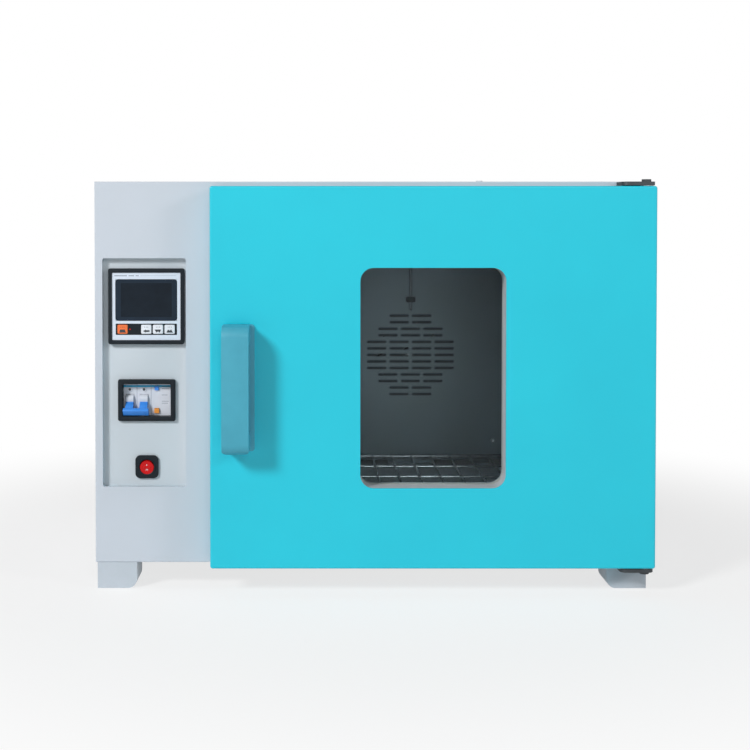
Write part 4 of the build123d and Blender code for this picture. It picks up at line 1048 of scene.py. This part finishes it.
@dataclass
class ControlColumn(Assembly):
    """The sunk tray with its controller, breaker and power switch."""

    keys: tuple[str, ...] = ("key_set", "key_shift", "key_down", "key_up")
    print_t: float = 0.06
    frame_edge: float = 0.8
    controller_radius: float = 2.6
    face_radius: float = 1.2
    display_radius: float = 4.0
    display_out: float = 0.4
    cell_in: Point2 = (6.5, 4.55)
    strip_out: float = 1.4
    key_radius: float = 1.6
    key_gap: float = 0.3
    lamp_r: float = 0.9
    lamp_from_key: float = 9.4
    glyph_low: float = 1.6
    glyph_h: float = 3.9
    glyph_half: float = 4.2
    breaker_radius: float = 2.4
    view_in: float = 6.0
    view_radius: float = 1.2
    tail_t: float = 2.5
    pole_w: float = 18.0
    button_out: float = 2.5
    label_in: float = 13.5
    boss_t: float = 1.0
    lever_sink: float = 3.0
    lever_w: float = 10.0
    pin_r: float = 1.5
    barrel_r: float = 6.9
    arm_reach: Span = (6.2, 19.0)
    arm_t: float = 5.0
    bar_reach: Span = (18.0, 23.0)
    bar_t: float = 10.0
    bar_w: float = 32.4
    rocker_lean_deg: float = 10.0
    rocker_out: float = 3.5
    rocker_dish_r: float = 42.0

    def build(self) -> None:
        """Builds the three instruments in their tray."""
        self.dress("control_tray", "controller_housing", "controller_face", "switch_housing")
        self.dress("din_rail", "relay_heat_sink", "solid_state_relay", "terminal_block")
        self.controller()
        self.keypad()
        self.breaker()
        self.levers()
        self.breaker_print()
        self.switch()

    def controller(self) -> None:
        """The square frame with soft edges, the display behind its round-cornered window, and the print."""
        x, y, z = spans("controller_bezel")
        face_x, face_y, face_z = spans("controller_face")
        loops = [round_rectangle(x, z, self.controller_radius)]
        loops.append(round_rectangle(face_x, face_z, self.face_radius))
        self.stand_for(bevel(slab("controller_frame", loops, y), self.frame_edge), "controller_bezel")
        self.dress("controller_display")
        skin = (face_y[0] - self.print_t, face_y[0])
        screen_x, _, screen_z = spans("controller_display")
        mask_x, mask_z = grow(screen_x, self.display_out), grow(screen_z, self.display_out)
        mask = plate("display_mask", mask_x, mask_z, skin, self.display_radius)
        self.trim(mask, "controller_display", "display_window")
        cell_x, cell_z = grow(screen_x, -self.cell_in[0]), grow(screen_z, -self.cell_in[1])
        cell = plate("display_cell", cell_x, cell_z, (skin[0] - self.print_t, skin[0]), 0.6, 2)
        self.trim(cell, "controller_display", "dark_cell", "display_window")
        line_z = face_z[1] - (face_z[1] - screen_z[1]) * 0.45
        bars = []
        for start, width, thick in ((3, 16, 1.2), (21, 7, 1.2), (30, 4, 1.2), (36, 45, 0.35)):
            span = (face_x[0] + start, face_x[0] + start + width)
            bars.append(plate(f"bar_{start}", span, around(line_z, thick), skin, 0.15, 2))
        self.trim(joined("controller_print", bars), "controller_face", "grey_ink", "face_plastic")

    def keypad(self) -> None:
        """The dark strip, four soft keys with a symbol each, and the small lamp beside the first."""
        face_y = spans("controller_face")[1][0]
        key_x, _, z = spans("key_set")
        strip = [round_rectangle(spans("controller_display")[0], grow(z, self.strip_out), 1.2)]
        for name in self.keys:
            hole_x, hole_z = grow(spans(name)[0], self.key_gap), grow(z, self.key_gap)
            strip.append(round_rectangle(hole_x, hole_z, self.key_radius + 0.2))
        made = slab("key_strip", strip, (face_y - self.print_t, face_y))
        self.trim(made, "controller_face", "black_plastic")
        for name in self.keys:
            x, y, _ = spans(name)
            self.stand_for(bevel(plate(name + "_cap", x, z, y, self.key_radius), 0.7, 4), name)
            self.trim(self.glyph(name, middle(x), z, y[0]), name, "dark_ink", self.slot_of(name))
        spot = (middle(key_x) + self.lamp_from_key, face_y, middle(z))
        lens = Fastener(self.lamp_r, 0.5, 20).place("lamp_lenses", [spot])
        self.trim(lens, "controller_face", "red_plastic")

    def glyph(self, name: str, x: float, z: Span, front: float) -> Piece:
        """The symbol printed low on a key, and the small mark above it.

        Args:
            name: of the key.
            x: its middle.
            z: its span in height.
            front: the Y of its front face.

        Returns:
            The printed piece.
        """
        low = z[0] + self.glyph_low
        high = low + self.glyph_h
        left, right = x - self.glyph_half, x + self.glyph_half
        skin = (front - self.print_t, front + self.print_t)
        peaks = [(left, low), (middle((left, x)), high), (x, low + 2.4), (middle((x, right)), high)]
        peaks.append((right, low))
        neck = x - 0.4
        shapes = {
            "key_set": [(left, low), (left + 1.2, high), (right - 1.2, high), (right, low)],
            "key_shift": [(left, (low + high) / 2), (neck, high), (neck, low + 3.1), (right, low + 3.1)]
            + [(right, low + 0.8), (neck, low + 0.8), (neck, low)],
            "key_down": [(u, high + low - v) for u, v in peaks],
            "key_up": peaks,
        }
        marks = [slab(f"dot_{u}", [circle(x + u, z[1] - 2.9, 0.45, 12)], skin) for u in (-2, 0, 2)]
        return joined(name + "_print", [slab(name + "_symbol", [shapes[name]], skin), *marks])

    def breaker(self) -> None:
        """The breaker's window frame, with a thinner tail that runs back into the tray."""
        x, (front, back), z = spans("breaker_frame")
        view_x, view_z = grow(x, -self.view_in), grow(z, -self.view_in)
        tray = spans("controller_bezel")[1][1]
        view = round_rectangle(view_x, view_z, self.view_radius)
        brim = [round_rectangle(x, z, self.breaker_radius), view]
        ring = bevel(slab("breaker_surround", brim, (front, tray)), self.frame_edge)
        tail_x, tail_z = grow(view_x, self.tail_t), grow(view_z, self.tail_t)
        tail = slab("surround_tail", [round_rectangle(tail_x, tail_z, 1), view], (tray, back))
        self.stand_for(joined("breaker_surround", [ring, tail]), "breaker_frame")
        self.dress("breaker_body", "breaker_test_button", "breaker_reset_button")

    def breaker_print(self) -> None:
        """What shows on the breaker's nose: the strip, the plain label lines, the seams and two screws."""
        body_x, _, _ = spans("breaker_body")
        z = spans("breaker_frame")[2]
        mid_z, view_z = middle(z), grow(z, -self.view_in)
        nose = spans("breaker_test_button")[1][0] + self.button_out
        skin = (nose - self.print_t, nose)
        stripe_z = (view_z[1] - 5.0, view_z[1] - 2.4)
        stripe = plate("breaker_stripe", grow(body_x, -0.4), stripe_z, skin, 0.1, 1)
        self.trim(stripe, "breaker_body", "cyan_ink", "blue_plastic")
        split = body_x[0] + 2 * self.pole_w
        start = split + self.label_in
        bars = []
        for width, rise in ((12.0, 16.5), (9.5, 13.5), (7.5, 5.5), (9.0, -2.5), (8.0, -5.0)):
            line_z = around(mid_z + rise, 0.7)
            bars.append(plate(f"line_{width}", (start, start + width), line_z, skin, 0.1, 1))
        for place in (body_x[0] + self.pole_w, split):
            bars.append(plate(f"seam_{place}", around(place, 0.5), grow(view_z, -0.5), skin, 0.1, 1))
        self.trim(joined("breaker_print", bars), "breaker_body", "grey_ink", "white_plastic")
        screws = [(body_x[0] + self.pole_w * (pole + 0.5), nose - 0.9, mid_z + 12.7) for pole in range(2)]
        heads = Fastener(1.7, 0.3, 24).place("breaker_screws", screws)
        self.trim(heads, "breaker_body", "dark_steel")

    def levers(self) -> None:
        """The two levers with their tie bar: white barrels on the pin, blue arms that hang at 45 degrees."""
        x, z = spans("breaker_toggle")[0], middle(spans("breaker_frame")[2])
        pivot = spans("breaker_body")[1][0] + self.boss_t + self.lever_sink
        axis = (0, pivot, z)
        pin = [(0, x[0]), (self.pin_r, x[0]), (self.pin_r, x[1]), (0, x[1])]
        white = [turned("lever_pin", pin, axis, "x", 16)]
        blue = []
        far, near = pivot - self.arm_reach[1], pivot - self.arm_reach[0]
        full, cut, edge = self.barrel_r, self.barrel_r - 0.3, 0.3
        for place in around(middle(x), self.pole_w):
            low, high = around(place, self.lever_w)
            barrel = [(0, low), (cut, low), (full, low + edge), (full, high - edge), (cut, high), (0, high)]
            white.append(turned("lever_barrel", barrel, axis, "x"))
            arm = plate("lever_arm", (far, near), around(z, self.arm_t), (low, high), 0.4, 3, "x")
            blue.append(bevel(arm, 0.5))
        bar_y = (pivot - self.bar_reach[1], pivot - self.bar_reach[0])
        bar = plate("lever_bar", bar_y, around(z, self.bar_t), around(middle(x), self.bar_w), 1.2, 5, "x")
        blue.append(bevel(bar, 0.4))
        parts = [self.coat(part, "white_plastic") for part in white]
        parts += [self.coat(part, "blue_plastic") for part in blue]
        made = joined("breaker_levers", parts)
        centre = Vector(axis) * MM
        lean = Matrix.Rotation(math.radians(45), 4, "X")
        made.data.transform(Matrix.Translation(centre) @ lean @ Matrix.Translation(-centre))
        self.stand_for(made, "breaker_toggle")

    def switch(self) -> None:
        """The round rocker with the two marks on its hollow face."""
        self.dress("power_rocker")
        housing_x, (front, _), housing_z = spans("switch_housing")
        x, z = middle(housing_x), middle(housing_z)
        section = [(9.4, 0.2), (9.4, -0.5), (9.9, -0.8), (11.0, -0.8), (11.4, -0.4), (11.4, 0.2)]
        self.trim(turned("rocker_rim", section, (x, front, z)), "switch_housing", "black_plastic")
        pivot = Vector((x, spans("controller_bezel")[1][1], z))
        lean = Matrix.Rotation(math.radians(self.rocker_lean_deg), 4, "X")
        bar = [round_rectangle((-0.35, 0.35), (-1.4, 1.4), 0.2, 3)]
        ring = [circle(0, 0, 1.3, 24), circle(0, 0, 0.8, 24)]
        marks = []
        for rise, loops in ((3.6, bar), (-3.4, ring)):
            mark = slab(f"mark_{rise}", loops, (-0.06, 0.02))
            out = self.rocker_out + rise**2 / (2 * self.rocker_dish_r)
            spot = pivot + lean @ Vector((0, -out, rise))
            mark.data.transform(Matrix.Translation(spot * MM) @ lean)
            marks.append(mark)
        self.trim(joined("rocker_marks", marks), "power_rocker", "white_ink", "red_plastic")


@dataclass
class Chamber(Assembly):
    """The stainless box, its slotted duct plate, shelves, racks and probe."""

    grille_rows: int = 13
    grille_pitch: float = 10.0
    grille_column: float = 34.3
    grille_r: float = 70.0
    slot_w: float = 30.0
    slot_h: float = 4.2
    slot_corner: float = 2.0
    sheet_t: float = 1.2
    plate_edge: float = 5.0
    air_gap_w: float = 58.0
    air_gap_at: Span = (59.5, 146.5)
    return_in: float = 10.0
    nut_r: Point2 = (4.0, 3.46)
    probe_r: float = 2.0
    crimp_r: float = 6.0
    crimp_h: float = 8.0
    rod_bend: float = 10.0
    wire_r: float = 1.6
    wires: int = 13
    cross_r: float = 1.4
    cross_at: Point3 = (0.25, 0.5, 0.75)

    def build(self) -> None:
        """Builds what the door's window shows and what the open door shows."""
        self.dress("chamber_liner", "shelf_racks", "probe_clip")
        self.duct_plate()
        self.nuts()
        self.probe()
        for node in ("shelf_lower", "shelf_upper"):
            self.shelf(node)

    def slots(self) -> list[Point2]:
        """Middles of the slots: rows that fill a circle, each as many slots as fit its chord."""
        x = middle(spans("air_duct_plate")[0])
        z = middle(spans("fan_impeller")[2])
        places = []
        for row in range(self.grille_rows):
            rise = (row - (self.grille_rows - 1) / 2) * self.grille_pitch
            chord = 2 * math.sqrt(self.grille_r**2 - rise**2)
            count = int((chord + self.grille_column - self.slot_w) / self.grille_column)
            places += [(x + (k - (count - 1) / 2) * self.grille_column, z + rise) for k in range(count)]
        return places

    def duct_plate(self) -> None:
        """The plate before the fan: round-ended slots, side returns, and air slots along its two edges."""
        x, y, z = spans("air_duct_plate")
        inner_z = grow(z, -self.plate_edge)
        front = (y[0], y[0] + self.sheet_t)
        size = (x[1] - x[0], inner_z[1] - inner_z[0], self.sheet_t)
        sheet = SlottedSheet(*size, self.slot_w, self.slot_h, self.slot_corner)
        centre = (middle(x), y[0], middle(z))
        parts = [sheet.place("duct_face", centre, self.slots())]
        far, near = self.air_gap_at
        places = (x[0] + far, x[0] + near, x[1] - near, x[1] - far)
        gaps = [around(place, self.air_gap_w) for place in places]
        starts = [x[0], *(gap[1] for gap in gaps)]
        ends = [*(gap[0] for gap in gaps), x[1]]
        for side, rim in enumerate(((z[0], inner_z[0]), (inner_z[1], z[1]))):
            for index, tooth in enumerate(zip(starts, ends)):
                parts.append(plate(f"tooth_{side}_{index}", tooth, rim, front, 0.2, 1))
        for index, wall in enumerate(((x[0], x[0] + self.sheet_t), (x[1] - self.sheet_t, x[1]))):
            depth = (front[1], y[1])
            parts.append(plate(f"return_{index}", wall, depth, grow(z, -self.return_in), 0.2, 1, "z"))
        parts = [self.coat(part, "duct_sheet") for part in parts]
        self.stand_for(joined("duct_plate", parts), "air_duct_plate")

    def nuts(self) -> None:
        """The four washers and nuts on the studs' ends."""
        x, (_, seat), z = spans("duct_plate_nuts")
        inner_x, inner_z = grow(x, -self.nut_r[0]), grow(z, -self.nut_r[1])
        spots = [(u, seat, v) for u in inner_x for v in inner_z]
        nut = Fastener(self.nut_r[0], 2.4, 6, 5.2, 0.6, 1.9, 0.8)
        self.stand_for(self.coat(nut.place("duct_nuts", spots), "stainless_wire"), "duct_plate_nuts")

    def probe(self) -> None:
        """The sheathed probe with its round tip, its crimp, and the lead above the roof."""
        x, y, (low, high) = spans("temperature_probe")
        roof = spans("chamber_liner")[2][1]
        top = roof + self.crimp_h
        sheath, crimp = self.probe_r, self.crimp_r
        profile = [(0, low), (1.2, low + 0.3), (1.9, low + 1.2), (sheath, low + 2), (sheath, roof)]
        profile += [(crimp - 0.4, roof), (crimp, roof + 0.6), (crimp, top - 0.6), (crimp - 0.6, top)]
        profile += [(sheath, top), (sheath, high), (0, high)]
        rod = turned("probe_sheath", profile, (middle(x), middle(y), 0), "z", 24)
        self.stand_for(rod, "temperature_probe")

    def shelf(self, node: str) -> None:
        """A shelf of round wires welded into a bent frame rod, with three cross wires under them."""
        x, y, z = spans(node)
        rod_r = (z[1] - z[0]) / 2
        inner, depth = grow(x, -rod_r), grow(y, -rod_r)
        ring = [(u, v, middle(z)) for u, v in round_rectangle(inner, depth, self.rod_bend)]
        rods = [tube(node + "_rod", ring, rod_r, True, 20)]
        gap = (inner[1] - inner[0]) / (self.wires + 1)
        starts = [(inner[0] + gap * (index + 1), depth[0], z[1] - self.wire_r) for index in range(self.wires)]
        row = RodRow(self.wire_r, depth[1] - depth[0])
        rods.append(row.place(node + "_row", starts, (0, 1, 0)))
        for share in self.cross_at:
            across = [(u, y[0] + share * (y[1] - y[0]), z[0] + self.cross_r) for u in inner]
            rods.append(tube(f"cross_{share}", across, self.cross_r))
        rods = [self.coat(rod, "stainless_wire") for rod in rods]
        self.stand_for(joined(node + "_wires", rods), node)


@dataclass
class AirDrive(Assembly):
    """The heater ring, the fan and its motor."""

    sheath_r: float = 4.0
    heater_gap_deg: float = 20.0
    heater_bend: float = 7.0
    sheet_t: float = 1.2
    bore_r: float = 5.0
    hub_r: float = 10.0
    hub_in: float = 9.0
    eye_r: float = 50.0
    blades: int = 10
    blade_bow: float = 38.0
    blade_from: float = 44.0
    blade_half_deg: float = 28.0

    def build(self) -> None:
        """Builds the ring and the wheel, and dresses the rest."""
        self.dress("heater_terminals", "fan_shaft", "cooling_blade", "fan_motor")
        self.heater()
        self.wheel()

    def heater(self) -> None:
        """The heating tube bent round the fan, with its two ends turned to the back."""
        fan_x, _, fan_z = spans("fan_impeller")
        _, y, z = spans("heater_ring")
        start_y = y[0] + self.sheath_r
        half = self.heater_gap_deg / 2
        radius = (z[1] - z[0]) / 2 - self.sheath_r
        loop = arc((middle(fan_x), middle(fan_z)), radius, half, 360 - half, 90)
        (first_x, first_z), (last_x, last_z) = loop[0], loop[-1]
        turn_y = start_y + self.heater_bend
        path = [(first_x, y[1], first_z), (first_x, turn_y, first_z)]
        path += [(u, start_y, v) for u, v in loop[2:-2]]
        path += [(last_x, turn_y, last_z), (last_x, y[1], last_z)]
        self.stand_for(tube("heater_loop", path, self.sheath_r - 0.1), "heater_ring")

    def wheel(self) -> None:
        """The centrifugal wheel: back disc, front ring, hub and backward-curved blades."""
        fan_x, (front_y, back_y), fan_z = spans("fan_impeller")
        x, z = middle(fan_x), middle(fan_z)
        radius = (fan_x[1] - fan_x[0]) / 2
        hub_y, disc_y, ring_y = front_y + self.hub_in, back_y - self.sheet_t, front_y + self.sheet_t
        bore, hub = self.bore_r, self.hub_r
        disc = [(bore, hub_y), (hub - 0.6, hub_y), (hub, hub_y + 0.6), (hub, disc_y)]
        disc += [(radius, disc_y), (radius, back_y), (bore, back_y), (bore, hub_y)]
        ring = [(self.eye_r, front_y), (radius, front_y), (radius, ring_y), (self.eye_r, ring_y)]
        ring.append(ring[0])
        centre = (x, 0, z)
        parts = [turned("wheel_disc", disc, centre, "y", 64), turned("wheel_ring", ring, centre, "y", 64)]
        half = self.blade_half_deg
        bow = ((radius + self.blade_from) / 2, -self.blade_bow * math.cos(math.radians(half)))
        radii = (self.blade_bow, self.blade_bow - self.sheet_t)
        outer, inner = (arc(bow, size, 90 - half, 90 + half, 8) for size in radii)
        loop = [(x + u, z + v) for u, v in outer + inner[::-1] if math.hypot(u, v) < radius]
        blade = slab("blade", [loop], (ring_y, disc_y))
        parts.append(BladeRing(self.blades).place("wheel_blades", blade, centre))
        parts = [self.coat(part, "dark_steel") for part in parts]
        self.stand_for(joined("fan_wheel", parts), "fan_impeller")


@dataclass
class Door(Assembly):
    """The door: painted pan, window, pull, seal and the steel that holds it shut."""

    flange: float = 9.0
    lining_t: float = 1.5
    window_radius: float = 16.5
    pull_edge: float = 2.4
    pull_foot_r: float = 9.0
    pull_foot_squash: float = 0.6
    pull_outer_r: float = 14.0
    pull_inner_r: float = 9.0
    grip_t: float = 15.0
    leg: float = 24.0
    pull_w: float = 33.0
    base_t: float = 3.0
    base_radius: float = 4.0

    def build(self) -> None:
        """Dresses the sheet pieces and the panes, and builds the window's lining and the pull."""
        self.dress("door_skin", "door_inner_panel", "door_insulation", "glass_spacer", "door_gasket")
        self.dress("magnet_catches", "strike_plates", "outer_glass", "inner_glass")
        self.window()
        self.pull()

    def window(self) -> None:
        """The pale lining round the window, smooth in its corners, with its rear flange."""
        x, (front, back), z = spans("window_lining")
        view_x, view_z = grow(x, -self.flange), grow(z, -self.flange)
        wall_x, wall_z = grow(view_x, self.lining_t), grow(view_z, self.lining_t)
        brim_y = back - self.lining_t
        inside = round_rectangle(view_x, view_z, self.window_radius, 14)
        ring = round_rectangle(wall_x, wall_z, self.window_radius + self.lining_t, 14)
        brim = round_rectangle(x, z, self.window_radius + self.flange, 14)
        parts = [slab("lining_wall", [ring, inside], (front, brim_y))]
        parts.append(slab("lining_brim", [brim, inside], (brim_y, back)))
        self.stand_for(joined("window_surround", parts), "window_lining")

    def pull(self) -> None:
        """The moulded pull: a grip and two legs from one side profile, trimmed to its front outline."""
        x, y, z = spans("door_handle")
        grip_x = (x[0], x[0] + self.pull_w)
        grip = slab("pull_side", [self.side_profile(y, z)], grip_x, "x")
        cutter = slab("pull_front", [self.front_outline(grip_x, z)], grow(y, 5))
        trim = grip.modifiers.new("trim", "BOOLEAN")
        trim.operation = "INTERSECT"
        trim.solver = "EXACT"
        trim.object = cutter
        settle(grip)
        bpy.data.objects.remove(cutter)
        bevel(grip, self.pull_edge, 4, 32)
        base = plate("pull_base", x, z, (y[1] - self.base_t, y[1]), self.base_radius, 6)
        self.stand_for(joined("door_pull", [grip, bevel(base, 0.8)]), "door_handle")

    def side_profile(self, y: Span, z: Span) -> list[Point2]:
        """The pull seen from the side: a C open towards the door, as Y and Z."""
        low, high = grow(z, -self.pull_outer_r)
        outer_y = y[0] + self.pull_outer_r
        outer = [(y[1], z[0]), *arc((outer_y, low), self.pull_outer_r, 270, 180, 8)]
        outer += [*arc((outer_y, high), self.pull_outer_r, 180, 90, 8), (y[1], z[1])]
        gap = grow(z, -self.leg)
        low, high = grow(gap, -self.pull_inner_r)
        inner_y = y[0] + self.grip_t + self.pull_inner_r
        inner = [(y[1], gap[1]), *arc((inner_y, high), self.pull_inner_r, 90, 180, 8)]
        inner += [*arc((inner_y, low), self.pull_inner_r, 180, 270, 8), (y[1], gap[0])]
        return outer + inner

    def front_outline(self, x: Span, z: Span) -> list[Point2]:
        """The pull seen from the front: square at the top and rounded at the bottom."""
        radius, squash = self.pull_foot_r, self.pull_foot_squash
        low = z[0] + radius * squash
        foot = arc((x[0] + radius, low), radius, 180, 270, 6, squash)
        foot += arc((x[1] - radius, low), radius, 270, 360, 6, squash)
        return [(x[1], z[1]), (x[0], z[1]), *foot]


@dataclass
class Hinges(Assembly):
    """The two brackets with their pins, bushes and screws."""

    head_r: float = 4.5
    head_t: float = 1.1
    pitch: float = 16.0
    seat_in: float = 2.0

    def build(self) -> None:
        """Dresses the brackets, bushes and pins, and places the screws' heads."""
        self.dress("hinge_brackets", "hinge_bushes", "hinge_pins")
        x, _, z = spans("hinge_screws")
        seat = spans("hinge_brackets")[1][1] - self.seat_in
        low, high = grow(z, -self.head_r)
        spots = [(middle(x), seat, v) for v in (low, low + self.pitch, high - self.pitch, high)]
        heads = Fastener(self.head_r, self.head_t, 28).place("hinge_heads", spots)
        self.stand_for(self.coat(heads, "zinc_steel"), "hinge_screws")


@dataclass
class Rear(Assembly):
    """The inlet and the screws at the rear, and the vent on the roof."""

    def build(self) -> None:
        """Dresses the rear fittings and the vent."""
        self.dress("power_inlet", "rear_screws", "vent_tube", "vent_damper")


# Studio


@dataclass(frozen=True)
class Lamp:
    """A round area lamp that looks at the cabinet's middle.

    Args:
        name: of the lamp.
        towards: the direction from the cabinet to the lamp.
        away: its distance in metres.
        size: its diameter in metres.
        power: in watts.
    """

    name: str
    towards: Point3
    away: float
    size: float
    power: float

    def hang(self, aim: Point3) -> None:
        """Puts the lamp in the scene, looking at a point given in metres."""
        data = bpy.data.lights.new(self.name, "AREA")
        data.shape = "DISK"
        data.size = self.size
        data.energy = self.power
        made = bpy.data.objects.new(self.name, data)
        way = Vector(self.towards).normalized()
        made.location = Vector(aim) + way * self.away
        made.rotation_euler = (-way).to_track_quat("-Z", "Y").to_euler()
        bpy.context.scene.collection.objects.link(made)


@dataclass
class Studio:
    """The camera, the lamps, the pale floor and the white surroundings.

    Args:
        eye: where the camera stands.
        pitch_deg: how far it looks down.
        yaw_deg: how far it is turned to the right.
        focal: the lens on a 36 mm wide picture.
        shift: how far the picture is slid, as shares of its width.
        aim: the point in metres that the lamps look at.
        lamps: the lamps.
        sky: the strength of the surroundings as a light.
        floor_reach: half the floor's width in metres.
        floor_drop: how far the floor lies under the feet.
        floor_fade: between these distances in metres the floor turns to plain white.
        floor_white: the share of plain white under the cabinet.
    """

    eye: Point3 = (-73.0, -1908.5, 460.0)
    pitch_deg: float = 1.45
    yaw_deg: float = -0.07
    focal: float = 64.75
    shift: Point2 = (0.0833, -0.1541)
    aim: Point3 = (0.0, -0.2, 0.27)
    lamps: tuple[Lamp, ...] = (
        Lamp("key_lamp", (-0.58, -0.65, 0.49), 6.0, 1.3, 243.0),
        Lamp("fill_lamp", (0.79, -0.475, 0.39), 5.0, 1.2, 48.0),
        Lamp("front_lamp", (0.15, -0.9, 0.4), 5.0, 1.6, 25.0),
    )
    sky: float = 0.06
    floor_reach: float = 30.0
    floor_drop: float = 0.2
    floor_fade: Span = (0.45, 1.1)
    floor_white: float = 0.72

    def build(self) -> None:
        """Builds the camera, lamps, world and floor."""
        self.camera()
        for lamp in self.lamps:
            lamp.hang(self.aim)
        self.world()
        self.floor()
        bpy.context.scene.view_settings.view_transform = "Standard"

    def camera(self) -> None:
        """The camera at the photograph's place."""
        data = bpy.data.cameras.new("camera")
        data.lens = self.focal
        data.sensor_width = 36.0
        data.shift_x, data.shift_y = self.shift
        data.clip_start, data.clip_end = 0.05, 200.0
        made = bpy.data.objects.new("camera", data)
        made.location = Vector(self.eye) * MM
        made.rotation_euler = Euler((math.radians(90 - self.pitch_deg), 0.0, math.radians(-self.yaw_deg)))
        bpy.context.scene.collection.objects.link(made)
        bpy.context.scene.camera = made

    def world(self) -> None:
        """White to the eye and in reflections, and an even soft light on everything else."""
        world = bpy.data.worlds.new("studio")
        bpy.context.scene.world = world
        world.use_nodes = True
        tree = world.node_tree
        light = tree.nodes["Background"]
        wire(light, {"Color": WHITE, "Strength": self.sky})
        seen = add_node(tree, "ShaderNodeBackground", {"Color": WHITE, "Strength": 1.0})
        share = rays(tree, "Camera", "Glossy", "Transmission")
        blend = add_node(tree, "ShaderNodeMixShader", {0: share, 1: light, 2: seen})
        wire(tree.nodes["World Output"], {"Surface": blend})

    def floor(self) -> None:
        """A pale matt floor that shows the object's shadow near it and turns to white further out."""
        shape = bmesh.new()
        reach = self.floor_reach / MM
        corners = [(-reach, -reach), (reach, -reach), (reach, reach), (-reach, reach)]
        shape.faces.new([shape.verts.new((u, v, -self.floor_drop)) for u, v in corners])
        made = new_object("floor", shape)
        finish, tree, shader = new_material("floor, matt white paint")
        wire(shader, {"Base Color": (0.9, 0.9, 0.9, 1.0), "Roughness": 0.85})
        place = add_node(tree, "ShaderNodeTexCoord").outputs["Object"]
        away = add_node(tree, "ShaderNodeVectorMath", {0: place}, operation="LENGTH").outputs["Value"]
        start, end = self.floor_fade
        ramp = {"Value": away, "From Min": start, "From Max": end, "To Min": self.floor_white, "To Max": 1.0}
        fade = add_node(tree, "ShaderNodeMapRange", ramp, interpolation_type="SMOOTHSTEP")
        seen_by = rays(tree, "Camera", "Glossy", "Transmission")
        share = add_node(tree, "ShaderNodeMath", {0: fade, 1: seen_by}, operation="MULTIPLY")
        white = add_node(tree, "ShaderNodeEmission", {"Color": WHITE, "Strength": 1.0})
        blend = add_node(tree, "ShaderNodeMixShader", {0: share, 1: shader, 2: white})
        wire(tree.nodes["Material Output"], {"Surface": blend})
        made.data.materials.append(finish)


def main() -> None:
    """Loads the frame, builds each sub-assembly round it and reports the pieces."""
    logging.basicConfig(level=logging.INFO, format="%(message)s")
    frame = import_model()
    palette = Palette()
    for kind in (Cabinet, ControlColumn, Chamber, AirDrive, Door, Hinges, Rear):
        part = kind(palette, frame)
        part.build()
        log.info("%s: %s", kind.__name__, ", ".join(part.pieces))
    Studio().build()


if __name__ == "__main__":
    main()
